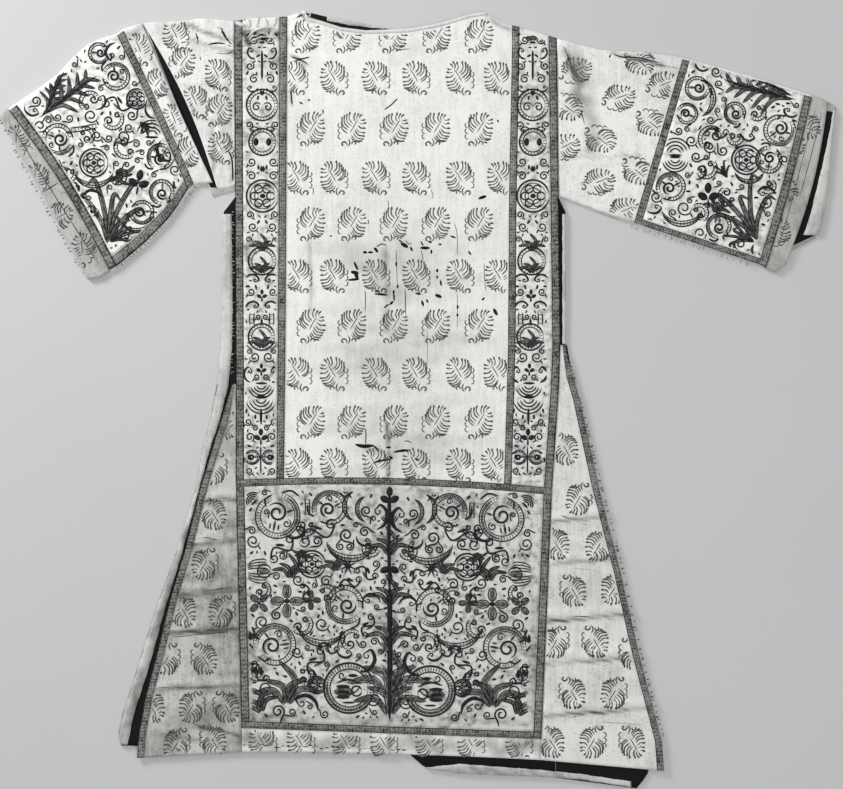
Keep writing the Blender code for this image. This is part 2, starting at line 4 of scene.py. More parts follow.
import bmesh
import bpy
import numpy as np
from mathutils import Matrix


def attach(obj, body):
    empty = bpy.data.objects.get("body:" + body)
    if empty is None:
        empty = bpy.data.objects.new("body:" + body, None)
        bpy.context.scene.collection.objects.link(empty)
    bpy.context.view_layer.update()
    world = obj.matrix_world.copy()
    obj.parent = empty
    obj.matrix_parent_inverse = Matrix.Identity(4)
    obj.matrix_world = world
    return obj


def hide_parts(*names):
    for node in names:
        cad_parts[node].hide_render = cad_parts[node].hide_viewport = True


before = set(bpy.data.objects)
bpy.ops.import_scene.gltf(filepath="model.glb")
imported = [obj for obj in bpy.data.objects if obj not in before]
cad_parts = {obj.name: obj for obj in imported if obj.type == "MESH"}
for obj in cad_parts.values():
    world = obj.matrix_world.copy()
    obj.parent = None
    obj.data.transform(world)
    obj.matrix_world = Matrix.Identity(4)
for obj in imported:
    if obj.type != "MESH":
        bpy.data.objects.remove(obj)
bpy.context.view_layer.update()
bpy.ops.object.select_all(action="DESELECT")


# The camera looks straight down on the tunic, as in the photograph, over a plain pale floor.
# A wide soft light from the upper left and a pale sky leave only shallow shadows in the cloth.
PLAN_STEP = 0.0015
PLAN_CENTRE = (418.32, 399.54)
VIEW_CENTRE = (421.5, 394.5)
VIEW_WIDTH = 843 * PLAN_STEP
LENS = 135

look_x = (VIEW_CENTRE[0] - PLAN_CENTRE[0]) * PLAN_STEP
look_y = (PLAN_CENTRE[1] - VIEW_CENTRE[1]) * PLAN_STEP
eye = bpy.data.cameras.new("eye")
eye.lens = LENS
eye.sensor_width = 36
eye.clip_end = 50
camera = bpy.data.objects.new("camera", eye)
camera.location = (look_x, look_y, VIEW_WIDTH * LENS / 36 + 0.005)
bpy.context.scene.collection.objects.link(camera)
bpy.context.scene.camera = camera

bpy.context.scene.view_settings.view_transform = "Standard"
world = bpy.data.worlds.new("studio")
world.use_nodes = True
world.node_tree.nodes["Background"].inputs["Color"].default_value = (1.0, 0.99, 0.97, 1)
world.node_tree.nodes["Background"].inputs["Strength"].default_value = 0.42
bpy.context.scene.world = world


def hang_light(name, place, aim, size, power):
    """Square soft light that points from a place at a point on the floor."""
    lamp = bpy.data.lights.new(name, "AREA")
    lamp.size = size
    lamp.energy = power
    light = bpy.data.objects.new(name, lamp)
    light.location = place
    way = np.array(place) - np.array(aim)
    light.rotation_euler = (math.acos(way[2] / np.linalg.norm(way)), 0, math.atan2(way[0], -way[1]))
    bpy.context.scene.collection.objects.link(light)


hang_light("key", (-2.1, 1.9, 1.15), (0, 0, 0), 0.8, 62)
hang_light("fill", (0.6, -0.4, 3.2), (0, 0, 0), 2.6, 34)


class Shade:
    """An output inside a material; sums and products of these add Math nodes."""

    def __init__(self, tree, socket=None):
        self.tree = tree
        self.socket = socket

    def node(self, kind, settings=(), inputs=(), output=0):
        """New node of a kind, its settings made first, then its sockets filled or linked."""
        made = self.tree.nodes.new("ShaderNode" + kind)
        for name, value in dict(settings).items():
            if name == "stops":
                while len(made.color_ramp.elements) < len(value):
                    made.color_ramp.elements.new(0.5)
                for stop, (position, level) in zip(made.color_ramp.elements, value):
                    stop.position = position
                    stop.color = (level, level, level, 1)
            else:
                setattr(made, name, value)
        for name, value in dict(inputs).items():
            if isinstance(value, Shade):
                self.tree.links.new(value.socket, made.inputs[name])
            else:
                made.inputs[name].default_value = value
        return Shade(self.tree, made.outputs[output])

    def maths(self, operation, first, second=0.0, clamp=False):
        """Math node of two values."""
        settings = {"operation": operation, "use_clamp": clamp}
        return self.node("Math", settings, {0: first, 1: second})

    def __add__(self, other):
        return self.maths("ADD", self, other)

    def __sub__(self, other):
        return self.maths("SUBTRACT", self, other)

    def __mul__(self, other):
        return self.maths("MULTIPLY", self, other)

    def __rsub__(self, other):
        return self.maths("SUBTRACT", other, self)

    __radd__ = __add__
    __rmul__ = __mul__

    def __abs__(self):
        return self.maths("ABSOLUTE", self)

    def clipped(self):
        """The value kept between 0 and 1."""
        return self.maths("ADD", self, 0.0, clamp=True)

    def tint(self, pale, dark):
        """Colour between two, by this value."""
        inputs = {0: self, 6: (*pale, 1), 7: (*dark, 1)}
        return self.node("Mix", {"data_type": "RGBA"}, inputs, output=2)

    def darker(self, colour, dark):
        """A colour link moved towards a dark one by this value."""
        return self.node("Mix", {"data_type": "RGBA"}, {0: self, 6: colour, 7: (*dark, 1)}, output=2)


def cloth_material(name, slot_roughness, sheen=0.15):
    """New material with its shader; returns the material, its shader node and its coordinates."""
    material = bpy.data.materials.new(name)
    material.use_nodes = True
    shader = material.node_tree.nodes["Principled BSDF"]
    shader.inputs["Roughness"].default_value = slot_roughness
    shader.inputs["Specular IOR Level"].default_value = 0.25
    shader.inputs["Sheen Weight"].default_value = sheen
    shader.inputs["Sheen Roughness"].default_value = 0.4
    tree = Shade(material.node_tree)
    where = tree.node("TexCoord", output=3)
    return material, shader, tree, where


def noise(tree, where, scale, detail=3.0, stretch=(1, 1, 1), turn=0.0):
    """Cloudy pattern, stretched and turned on the cloth."""
    inputs = {"Vector": where, "Rotation": (0, 0, turn), "Scale": stretch}
    spread = tree.node("Mapping", {}, inputs)
    inputs = {"Vector": spread, "Scale": scale, "Detail": detail}
    return tree.node("TexNoise", {}, inputs, output=0)


def dye(tree, shader, colour, roughness=None):
    """Links a colour, and a roughness if it varies."""
    tree.tree.links.new(colour.socket, shader.inputs["Base Color"])
    if roughness is not None:
        tree.tree.links.new(roughness.socket, shader.inputs["Roughness"])


floor_material, shader, tree, where = cloth_material("floor_paper", 0.9, 0)
dye(tree, shader, noise(tree, where, 3.0).tint((0.60, 0.60, 0.61), (0.63, 0.63, 0.64)))
bpy.ops.mesh.primitive_plane_add(size=14, location=(0, 0, -0.0004))
floor = bpy.context.object
floor.name = "floor"
floor.data.materials.append(floor_material)
bpy.ops.object.select_all(action="DESELECT")


# The back panel is one length of pale figured silk, cut straight at the sides and a little longer
# than the front. It lies on the floor; its lining and its light facings show round the front.
BACK_TOP = 0.0015
BACK_BODY = (
    (21, 234.5, 556.9), (48, 234.5, 556.9), (196, 235.2, 558.6), (212, 223.0, 566.0),
    (345, 220.5, 566.0), (384, 218.5, 564.0), (736, 222.0, 556.0), (750, 222.0, 556.0),
)
TOP_X = (234, 250, 287, 297, 304, 308, 324, 341, 366, 387, 410, 441, 471, 485, 505, 520, 540, 557)
TOP_BACK = (21.4, 18.6, 16.9, 13.4, 10.2, 11.5, 15.6, 18.6, 23.8, 28, 30.4, 25, 16, 12.4, 24.1, 27.4,
            33.4, 38.6)
HEM_X = (121, 222, 300, 405, 426, 460, 500, 540, 580, 637)
HEM_BACK = (746, 750, 746, 751, 769, 774, 776, 777, 780, 789)


def lay_cloth(name, top, under, material):
    """Closed sheet between two grids of points: plan x, plan y, height in metres."""
    top, under = np.array(top, dtype=float), np.array(under, dtype=float)
    rows, columns = top.shape[:2]
    count = rows * columns
    points = np.concatenate([top.reshape(-1, 3), under.reshape(-1, 3)])
    points[:, 0] = (points[:, 0] - PLAN_CENTRE[0]) * PLAN_STEP
    points[:, 1] = (PLAN_CENTRE[1] - points[:, 1]) * PLAN_STEP
    index = np.arange(count).reshape(rows, columns)
    a, b, c, d = index[:-1, :-1], index[1:, :-1], index[1:, 1:], index[:-1, 1:]
    upper = np.stack([a, b, c, d], axis=-1).reshape(-1, 4)
    lower = np.stack([d, c, b, a], axis=-1).reshape(-1, 4) + count
    rim = [*index[:, 0], *index[-1, 1:], *index[-2::-1, -1], *index[0, -2:0:-1]]
    rim = np.array(rim)
    ahead = np.roll(rim, -1)
    sides = np.stack([ahead, rim, rim + count, ahead + count], axis=-1)
    mesh = bpy.data.meshes.new(name)
    mesh.from_pydata(points.tolist(), [], np.concatenate([upper, lower, sides]).tolist())
    shape = bmesh.new()
    shape.from_mesh(mesh)
    bmesh.ops.recalc_face_normals(shape, faces=shape.faces)
    shape.to_mesh(mesh)
    shape.free()
    smooth = np.ones(len(mesh.polygons), dtype=bool)
    smooth[-len(sides):] = False
    mesh.polygons.foreach_set("use_smooth", smooth)
    spans = np.linalg.norm(np.diff(points[:count].reshape(rows, columns, 3), axis=1), axis=2).mean(0)
    drops = np.linalg.norm(np.diff(points[:count].reshape(rows, columns, 3), axis=0), axis=2).mean(1)
    across = np.concatenate([[0], np.cumsum(spans)])
    down = np.concatenate([[0], np.cumsum(drops)])
    table = np.stack(np.meshgrid(across, down), axis=-1).reshape(-1, 2)
    table = np.concatenate([table, table])
    corners = np.zeros(len(mesh.loops), dtype=int)
    mesh.loops.foreach_get("vertex_index", corners)
    mesh.uv_layers.new(name="lay").data.foreach_set("uv", table[corners].ravel())
    mesh.materials.append(material)
    piece = bpy.data.objects.new(name, mesh)
    bpy.context.scene.collection.objects.link(piece)
    return piece


def sew(piece, node, slot, rests_on, flat, area, with_pieces=()):
    """Hangs a sheet on the root and hides its CAD node; its finish and its cut, width, length and flat
    area, are not used.
    """
    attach(piece, "root")
    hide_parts(node)
    flat = (max(flat[0], 0.01), max(flat[1], 0.01))
    return piece


def measure(grid):
    """Width, length and area of a grid of plan points, in metres."""
    grid = np.array(grid, dtype=float)
    flat = grid[..., :2] * PLAN_STEP
    a, b, c, d = flat[:-1, :-1], flat[1:, :-1], flat[1:, 1:], flat[:-1, 1:]
    p, q = c - a, d - b
    area = float(np.abs(p[..., 0] * q[..., 1] - p[..., 1] * q[..., 0]).sum() / 2)
    wide = float(np.linalg.norm(np.diff(flat, axis=1), axis=2).sum(1).max())
    long = float(np.linalg.norm(np.diff(flat, axis=0), axis=2).sum(0).max())
    return (wide, max(long, area / wide)), area


def threads(tree, where, pitch, turn=0.0):
    """Fine weave: warp and weft waves crossed."""
    turned = tree.node("Mapping", {}, {"Vector": where, "Rotation": (0, 0, turn)})
    warp = tree.node("TexWave", {"bands_direction": "X"}, {"Vector": turned, "Scale": 0.314 / pitch})
    weft = tree.node("TexWave", {"bands_direction": "Y"}, {"Vector": turned, "Scale": 0.314 / pitch})
    return tree.maths("MAXIMUM", warp, weft * 0.9)


def raise_surface(tree, shader, height, distance, strength=0.6):
    """Bump from a height value."""
    inputs = {"Height": height, "Distance": distance, "Strength": strength}
    bump = tree.node("Bump", {}, inputs)
    tree.tree.links.new(bump.socket, shader.inputs["Normal"])


def silk(name, pale, dark, mottle, turn=0.0):
    """Pale figured silk: two tones in soft clouds, a fine weave and a slight gloss."""
    material, shader, tree, where = cloth_material(name, 0.62, 0.2)
    clouds = noise(tree, where, 9.0, 5.0)
    blotches = noise(tree, where, 60.0, 4.0)
    slubs = noise(tree, where, 260.0, 2.0, (1.0, 0.08, 1.0), turn)
    weave = threads(tree, where, 0.0009, turn)
    specks = ((noise(tree, where, 330.0, 2.0) - 0.55) * 7.0).clipped() * 0.4
    share = ((clouds - 0.42) * mottle * 1.6 + (blotches - 0.45) * mottle + (slubs - 0.5) * 0.7
             + (weave - 0.7) * 0.12 + specks).clipped()
    # The attribute read here darkens the silk for real dirt and also as painted shade in creases and
    # folds.
    shade_and_dirt_level = tree.node("Attribute", {"attribute_name": "soil"}, output=2) * (0.55 + blotches * 0.9)
    colour = shade_and_dirt_level.clipped().darker(share.tint(pale, dark), (0.10, 0.098, 0.092))
    dye(tree, shader, colour, 0.5 + slubs * 0.25)
    raise_surface(tree, shader, weave * 0.35 + slubs * 0.4 + blotches * 0.3, 0.0004, 0.7)
    return material


back_silk = silk("back_silk", (0.74, 0.735, 0.72), (0.45, 0.445, 0.43), 0.8)
levels = np.concatenate([np.linspace(a[0], b[0], max(int((b[0] - a[0]) / 6), 2), endpoint=False)
                         for a, b in zip(BACK_BODY, BACK_BODY[1:])] + [[750.0]])
left = np.interp(levels, [row[0] for row in BACK_BODY], [row[1] for row in BACK_BODY])
right = np.interp(levels, [row[0] for row in BACK_BODY], [row[2] for row in BACK_BODY])
shares = np.linspace(0, 1, 56)
back_x = left[:, None] + (right - left)[:, None] * shares
top_y = np.interp(back_x, TOP_X, TOP_BACK)
hem_y = np.interp(back_x, HEM_X, HEM_BACK)
level = levels[:, None]
back_y = np.where(level < 48, top_y + (48 - top_y) * (level - 21) / 27, level)
back_y = np.where(level > 736, 736 + (hem_y - 736) * (level - 736) / 14, back_y)
under = np.stack([back_x, back_y, np.zeros(back_x.shape)], axis=-1)
back = lay_cloth("back_panel", under + (0, 0, BACK_TOP), under, back_silk)
sew(back, "back_body", "damask", ["floor"], *measure(under))


# The lining is matt black linen, cut to the back and laid on it. It shows as a dark gap wherever
# the front ends short of the back: at the neck, down the left side, along the hem, in the open
# seam of the left sleeve and inside the right cuff. Its black is partly the lining's own and partly
# painted shadow of the front's edges; in the sleeve's open seam and inside the cuff it is painted
# shadow only.
LINING_BASE = 0.0018
LINING_WALL = 0.001
BACK_GORE_LEFT = (
    (384, 216.5), (420, 210), (450, 202), (490, 195), (525, 185), (555, 175), (610, 155), (665, 138),
    (715, 122), (735, 118), (746, 121),
)
BACK_GORE_RIGHT = (
    (345, 567.5), (400, 577), (488, 596), (574, 618), (652, 635), (742, 655), (776, 648), (789, 637),
)
LINING_SHOULDER = ((31, 147.5, 163.0), (187.5, 210.5, 228.0))
LINING_CUFF = ((803, 108, 776, 250), (817, 109, 792, 246), (834, 112, 813.5, 236))


def linen(name):
    """Matt black linen with a coarse thread and a little lint."""
    material, shader, tree, where = cloth_material(name, 0.95, 0.05)
    slubs = noise(tree, where, 320.0, 2.0, (1.0, 0.1, 1.0))
    lint = noise(tree, where, 900.0, 1.0)
    share = ((slubs - 0.35) * 0.9 + (lint - 0.72) * 3.0).clipped()
    dye(tree, shader, share.tint((0.006, 0.006, 0.007), (0.03, 0.03, 0.031)), 0.88 + slubs * 0.1)
    raise_surface(tree, shader, threads(tree, where, 0.0012) + slubs, 0.0003, 0.5)
    return material


def gore_back(side, edge, inset):
    """Plan grid of a back gore, from its seam to its outer edge."""
    sign = -1 if side == "left" else 1
    seam_x = left if side == "left" else right
    outer_y, outer_x = zip(*edge)
    top, last = edge[0][0], float(np.interp(seam_x[-1], HEM_X, HEM_BACK))
    down = np.linspace(top, last, 60)[:, None]
    drop = (down - top) / (last - top)
    out_y = down + (edge[-1][0] - last) * drop
    start = np.interp(down, levels, seam_x) + sign * 0.1
    out_x = np.interp(out_y, outer_y, outer_x) - sign * inset
    step = np.linspace(0, 1, 16)
    return start + (out_x - start) * step, down + (out_y - down) * step - inset * drop


back_gore_silk = silk("back_gore_silk", (0.60, 0.595, 0.58), (0.36, 0.355, 0.34), 0.9)
# This black lining also paints the shadow in the gaps beside the front's edges.
black_linen_and_gap_shadow = linen("black_linen_and_gap_shadow")
for side, edge in (("left", BACK_GORE_LEFT), ("right", BACK_GORE_RIGHT)):
    x, y = gore_back(side, edge, 0.0)
    under = np.stack([x, y, np.zeros(x.shape)], axis=-1)
    piece = lay_cloth("back_gore_panel_" + side, under + (0, 0, BACK_TOP), under, back_gore_silk)
    sew(piece, "back_gore_" + side, "gore_damask", ["floor"], *measure(under))
    x, y = gore_back(side, edge, 0.5)
    under = np.stack([x, y, np.full(x.shape, LINING_BASE)], axis=-1)
    piece = lay_cloth("gore_lining_" + side, under + (0, 0, LINING_WALL), under, black_linen_and_gap_shadow)
    sew(piece, "lining_gore_" + side, "lining", ["back_gore_panel_" + side], *measure(under))

inset = 0.5 * (1 - 2 * shares)
lining_y = np.where((levels[:, None] < 48) & ((back_x < 308.5) | (back_x > 480.5)), 50.0, back_y)
lining_y = lining_y + np.where(levels[:, None] < 48, 0.5, 0) - np.where(levels[:, None] > 736, 0.5, 0)
lining_y[levels < 48] = np.minimum(lining_y[levels < 48], 47.5 + levels[levels < 48][:, None] * 0.05)
under = np.stack([back_x + inset, lining_y, np.full(back_x.shape, LINING_BASE)], axis=-1)
piece = lay_cloth("body_lining", under + (0, 0, LINING_WALL), under, black_linen_and_gap_shadow)
sew(piece, "lining_body", "lining", ["back_panel"], *measure(under))

# The black sheet in the left sleeve's open seam is painted shadow.
(top_y, top_left, top_right), (low_y, low_left, low_right) = LINING_SHOULDER
down, step = np.linspace(0, 1, 45)[:, None], np.linspace(0, 1, 6)
start, end = top_left + (low_left - top_left) * down, top_right + (low_right - top_right) * down
under = np.stack([start + (end - start) * step, top_y + (low_y - top_y) * down + 0 * step,
                  np.full((45, 6), LINING_BASE)], axis=-1)
piece = lay_cloth("sleeve_seam_shadow_lining", under + (0, 0, LINING_WALL), under, black_linen_and_gap_shadow)
sew(piece, "lining_shoulder_left", "lining", ["shoulder_piece"], *measure(under))

# The black sheet inside the right cuff is painted shadow of the front cuff's edge.
lines = np.array(LINING_CUFF, dtype=float)
across = np.linspace(0, 2, 13)
tops = [np.interp(across, (0, 1, 2), lines[:, k]) for k in range(4)]
under = np.stack([tops[0] + (tops[2] - tops[0]) * down, tops[1] + (tops[3] - tops[1]) * down,
                  np.full((45, 13), LINING_BASE)], axis=-1)
piece = lay_cloth("cuff_shadow_lining_right", under + (0, 0, LINING_WALL), under, black_linen_and_gap_shadow)
sew(piece, "lining_cuff_right", "lining", ["cuff_piece_right"], *measure(under))


# Narrow facings of plain pale silk finish the back's edges and are turned over the lining. They
# show as light lines beyond the dark gaps. Their edges are a little uneven, as hand hemming is.
FACING_BASE = 0.0031
FACING_WALL = 0.001
SIDE_LEFT = (
    (214, 223.4, 231.5), (300, 221.6, 232.5), (345, 220.8, 232.0), (384, 217.6, 228.5),
    (420, 210.6, 219.5), (450, 202.6, 209.5), (490, 195.6, 198.8), (555, 175.7, 181.5),
    (610, 155.7, 164.5), (665, 138.7, 149.5), (715, 122.7, 133.5), (735, 118.8, 129.5),
    (744.6, 121.5, 127.5),
)
SIDE_RIGHT = ((214, 562.4, 565.6), (344, 562.4, 565.6))
CUFF_RIGHT_FACING = (
    (110, 833.4, 835.2), (133, 829.5, 832.8), (161, 823.5, 830.8), (192, 816.0, 827.6),
    (217, 810.0, 824.0), (235, 803.5, 819.2),
)
HEM_FACING = (
    (426, 767.6, 768.4), (460, 764.0, 773.4), (500, 767.0, 775.4), (540, 770.0, 776.4),
    (580, 774.0, 779.4), (631, 781.6, 787.2),
)
NECK_FACING = (
    (327, 16.6, 20.6), (349, 20.7, 25.0), (372, 25.6, 27.6), (384, 27.7, 28.9),
)


def ease(value):
    """Smooth rise from 0 to 1 while value goes from 0 to 1."""
    value = np.clip(value, 0.0, 1.0)
    return value * value * (3 - 2 * value)


facing_silk = silk("facing_silk", (0.66, 0.655, 0.64), (0.30, 0.30, 0.29), 1.1)
for name, node, rows, upright in (
    ("facing_left", "facing_side_left", SIDE_LEFT, True),
    ("facing_right", "facing_side_right", SIDE_RIGHT, True),
    ("cuff_facing", "facing_cuff_right", CUFF_RIGHT_FACING, True),
    ("hem_facing", "facing_hem", HEM_FACING, False),
    ("neck_facing", "facing_neck", NECK_FACING, False),
):
    rows = np.array(rows, dtype=float)
    run = np.linspace(rows[0, 0], rows[-1, 0], int((rows[-1, 0] - rows[0, 0]) / 2.5) + 2)
    near, far = (np.interp(run, rows[:, 0], rows[:, k]) for k in (1, 2))
    waver = 0.18 * np.sin(run * 0.31) + 0.12 * np.sin(run * 0.83 + 1)
    waver *= ease((run - run[0]) / 6) * ease((run[-1] - run) / 6)
    step = np.linspace(0, 1, 4)
    across = near[:, None] + waver[:, None] + (far - near)[:, None] * step
    along = run[:, None] + 0 * step
    x, y = (across, along) if upright else (along, across)
    base = np.stack([x, y, np.full(x.shape, FACING_BASE)], axis=-1)
    arch = 0.0006 * np.sin(np.pi * step) + 0.0002 * np.sin(run * 0.5)[:, None]
    top = base + np.stack([0 * x, 0 * x, FACING_WALL + arch], axis=-1)
    piece = lay_cloth(name, top, base, facing_silk)
    sew(piece, node, "binding", ["body_lining"], *measure(base))


# The front is a length of pale figured silk between two orphreys, lined, so it is thicker than
# the back. Air and folds under it lift it softly; a long fold runs down its middle to the hem.
FRONT_TOP = 0.0048
FRONT_WALL = 0.0015
SHOULDER_TOP = 0.0035
FRONT_SECTIONS = np.array((
    (45, 234.5, 287.0, 512.0, 556.8, 0, 0), (200, 235.2, 286.3, 509.0, 558.6, 0, 0),
    (345, 235.8, 285.5, 508.0, 560.4, 0, 0), (384, 236.0, 285.0, 507.0, 559.0, 2, -2),
    (480, 236.0, 284.0, 504.0, 552.0, 8, -6), (487, 236.3, 284.0, 504.0, 551.6, 8, -6),
    (721, 241.5, 284.0, 500.0, 541.6, 11, 0), (728, 241.6, 284.0, 500.0, 541.2, 11, 0),
    (752, 242.0, 284.0, 500.0, 540.0, 8, -2),
))
TOP_LEVEL = 20.0
TOP_FRONT = (21, 18.2, 16.5, 13, 9.9, 17.2, 22, 27.5, 30.6, 29.8, 28.8, 23, 14, 12, 23.7, 27, 33, 38.2)
NECK = (303.5, 485.5)
PUFFS = (
    (340, 250, 90, 190), (455, 260, 70, 200), (320, 600, 70, 110), (470, 610, 70, 110),
    (190, 90, 50, 70), (100, 150, 80, 80), (700, 150, 110, 80),
)
FOLDS = (
    (389, 430, 389, 760, 10, 0.0030), (200, 498, 236, 495, 7, 0.0034),
    (186, 541, 238, 536, 7, 0.0038), (176, 590, 240, 585, 7, 0.0042), (160, 629, 240, 624, 7, 0.0046),
    (148, 686, 242, 681, 8, 0.0036), (150, 728, 240, 742, 7, 0.0030), (554, 518, 606, 511, 7, 0.0034),
    (552, 560, 616, 553, 7, 0.0036), (548, 616, 632, 608, 8, 0.0040), (546, 658, 640, 651, 7, 0.0034),
    (544, 711, 654, 702, 8, 0.0040), (575, 46, 594, 134, 11, 0.0042), (612, 56, 666, 71, 7, 0.0040),
    (560, 162, 636, 160, 8, 0.0024), (186, 22, 234, 38, 6, 0.0032), (188, 36, 234, 50, 6, 0.0034),
    (216, 90, 220, 172, 7, 0.0028), (240, 20, 243, 40, 4.5, 0.0026), (250, 19, 254, 36, 4.5, 0.0030),
    (262, 20, 262, 40, 5, 0.0032), (274, 19, 279, 34, 4.5, 0.0028), (300, 30, 330, 60, 8, 0.0016),
    (470, 30, 500, 56, 8, 0.0016), (380, 240, 384, 330, 8, 0.0014), (110, 60, 170, 190, 14, 0.0024),
    (300, 520, 330, 600, 9, 0.0018), (470, 500, 450, 600, 9, 0.0016), (720, 90, 740, 180, 12, 0.0022),
    (60, 130, 90, 220, 10, 0.0022),
)


def ridges(x, y, table):
    """Height of soft ridges along straight lines: from, to, half width, height in metres."""
    height = np.zeros(np.broadcast(x, y).shape)
    for x0, y0, x1, y1, half_width, rise in table:
        length = math.hypot(x1 - x0, y1 - y0)
        along = ((x - x0) * (x1 - x0) + (y - y0) * (y1 - y0)) / length
        across = ((y - y0) * (x1 - x0) - (x - x0) * (y1 - y0)) / length
        waver = 2 * np.sin(along * 0.11 + x0) + 1.6 * np.sin(along * 0.31 + y0)
        across = across + 0.09 * half_width * waver
        fade = ease(1 + along / half_width) * ease(1 + (length - along) / half_width)
        fade = fade * (0.8 + 0.28 * np.sin(along * 0.07 + x0 + y0))
        height += rise * fade * ease(1 - np.abs(across) / half_width)
    return height


def cloth_height(x, y):
    """Height of the front and the sleeves' upper halves at places on the plan."""
    height = FRONT_TOP + ridges(x, y, FOLDS)
    for at_x, at_y, reach_x, reach_y in PUFFS:
        height = height + 0.003 * ease(1 - np.hypot((x - at_x) / reach_x, (y - at_y) / reach_y))
    return height


def front_height(x, y):
    """The same on the front panel, which dips to the shoulder's edge beside the neck."""
    edge = np.interp(x, TOP_X, TOP_FRONT)
    beside = (x < NECK[0]) | (x > NECK[1])
    low = np.where(beside, 1 - ease((y - edge - 2) / 20), 0)
    return cloth_height(x, y) * (1 - low) + SHOULDER_TOP * low


def front_row(level):
    """The front's y, left, inner_left, inner_right, right, skew and crown at a level."""
    keys = FRONT_SECTIONS[:, 0]
    return [np.interp(np.maximum(level, 45), keys, column) for column in FRONT_SECTIONS.T]


def front_y(x, level):
    """Plan y where a level of the front passes a place x."""
    y, start, _, _, end, skew, crown = front_row(level)
    share = (x - start) / (end - start)
    body = y + skew * share + crown * 4 * share * (1 - share)
    rise = (np.maximum(45 - level, 0)) / (45 - TOP_LEVEL)
    return body + (np.interp(x, TOP_X, TOP_FRONT) - body) * rise


def front_part(level_from, level_to, start, end, down=4.0, across=3.0):
    """Plan grid of a part of the front. start and end give x from a row's values."""
    steps = max(int(round((level_to - level_from) / down)), 2)
    level = np.linspace(level_from, level_to, steps + 1)[:, None]
    row = front_row(level)
    first, last = start(row), end(row)
    columns = max(int(round(float(np.max(last - first)) / across)), 2)
    x = first + (last - first) * np.linspace(0, 1, columns + 1)
    return x, front_y(x, level)


def lay_on_front(name, x, y, lift, wall, material, height=front_height):
    """Sheet whose upper face lies a little above the front at each point."""
    z = height(x, y)
    top = np.stack([x, y, z + lift + wall], -1)
    return lay_cloth(name, top, np.stack([x, y, z + lift], -1), material)


# The rows darken the cloth: as painted shade in the creases and folds, under the right sleeve's
# folded-over top and over the lower left gore, and as dirt round the square apparel and in two long
# streaks; the lower front is a little greyer all over. Each row says from, to, half width and strength.
SHADE_AND_DIRT = (
    (395, 260, 395, 480, 105, 0.27), (388, 425, 388, 478, 3.8, 0.8), (386, 250, 388, 330, 5, 0.3),
    (310, 235, 311, 312, 3.6, 0.4), (389, 728, 389, 757, 4, 0.6), (163, 634, 238, 629, 3.0, 1.3),
    (178, 596, 240, 591, 2.8, 0.8), (186, 545, 238, 541, 2.8, 0.8), (200, 502, 238, 500, 2.8, 0.6),
    (150, 690, 240, 685, 2.8, 0.8), (200, 727, 240, 736, 2.8, 1.0), (160, 735, 200, 741, 2.8, 0.6),
    (553, 522, 606, 516, 2.8, 0.7), (553, 564, 618, 558, 2.8, 0.6), (548, 622, 632, 614, 2.8, 1.0),
    (546, 664, 640, 658, 2.8, 0.7), (545, 716, 655, 708, 2.8, 1.0), (572, 56, 594, 146, 13, 0.75),
    (565, 50, 574, 76, 4, 0.7), (612, 53, 664, 66, 3.4, 1.0), (560, 158, 640, 156, 3, 0.5),
    (184, 24, 234, 42, 3.6, 0.7), (190, 40, 234, 52, 3, 0.7), (292, 90, 292, 104, 3.2, 0.8),
    (292, 56, 308, 64, 3.2, 0.8), (240, 741, 540, 747, 15, 0.6), (365, 448, 396, 456, 5, 0.35),
    (352, 262, 402, 300, 14, 0.24), (404, 246, 460, 250, 9, 0.22), (212, 120, 214, 175, 5, 0.5),
    (300, 14, 316, 20, 4, 1.0), (572, 205, 636, 222, 5, 0.35), (60, 78, 100, 40, 4, 0.3),
    (490, 20, 508, 30, 4, 0.5), (252, 34, 272, 29, 5, 1.5), (240, 31, 250, 44, 5, 0.9),
    (276, 33, 286, 40, 4, 0.8), (247, 600, 250, 718, 9, 0.6), (250, 717, 380, 720, 7, 0.5),
    (534, 600, 533, 718, 8, 0.5), (400, 720, 530, 722, 6, 0.4), (389, 488, 389, 720, 9, 0.5),
    (277, 497, 300, 520, 8, 0.25), (228, 60, 231, 180, 5, 0.4), (304, 640, 322, 650, 9, 0.4),
    (155, 742, 236, 704, 24, 0.45), (188, 530, 122, 742, 8, 0.75), (430, 768, 560, 774, 6, 0.5),
    (122, 38, 141, 28, 6, 0.7), (150, 56, 176, 108, 5, 0.5), (344, 600, 352, 616, 12, 0.3),
    (436, 600, 428, 616, 12, 0.3),
)


def soil(piece):
    """Writes how much each point of a sheet is darkened, by dirt and by painted shade, which its silk
    reads.
    """
    spots = np.zeros(len(piece.data.vertices) * 3)
    piece.data.vertices.foreach_get("co", spots)
    x, y = spots[::3] / PLAN_STEP + PLAN_CENTRE[0], PLAN_CENTRE[1] - spots[1::3] / PLAN_STEP
    piece.data.attributes.new("soil", "FLOAT", "POINT").data.foreach_set("value", ridges(x, y, SHADE_AND_DIRT))


front_silk = silk("front_silk", (0.93, 0.925, 0.91), (0.56, 0.555, 0.54), 0.6)
x, y = front_part(TOP_LEVEL, 752, lambda row: row[1] + 0.1, lambda row: row[4] - 0.1, 2.6, 2.6)
front = lay_on_front("front_panel", x, y, -FRONT_WALL, FRONT_WALL, front_silk)
soil(front)
for name in ("facing_left", "hem_facing"):
    soil(bpy.data.objects[name])
sew(front, "front_body", "damask", ["body_lining"], *measure(np.stack([x, y], -1)))

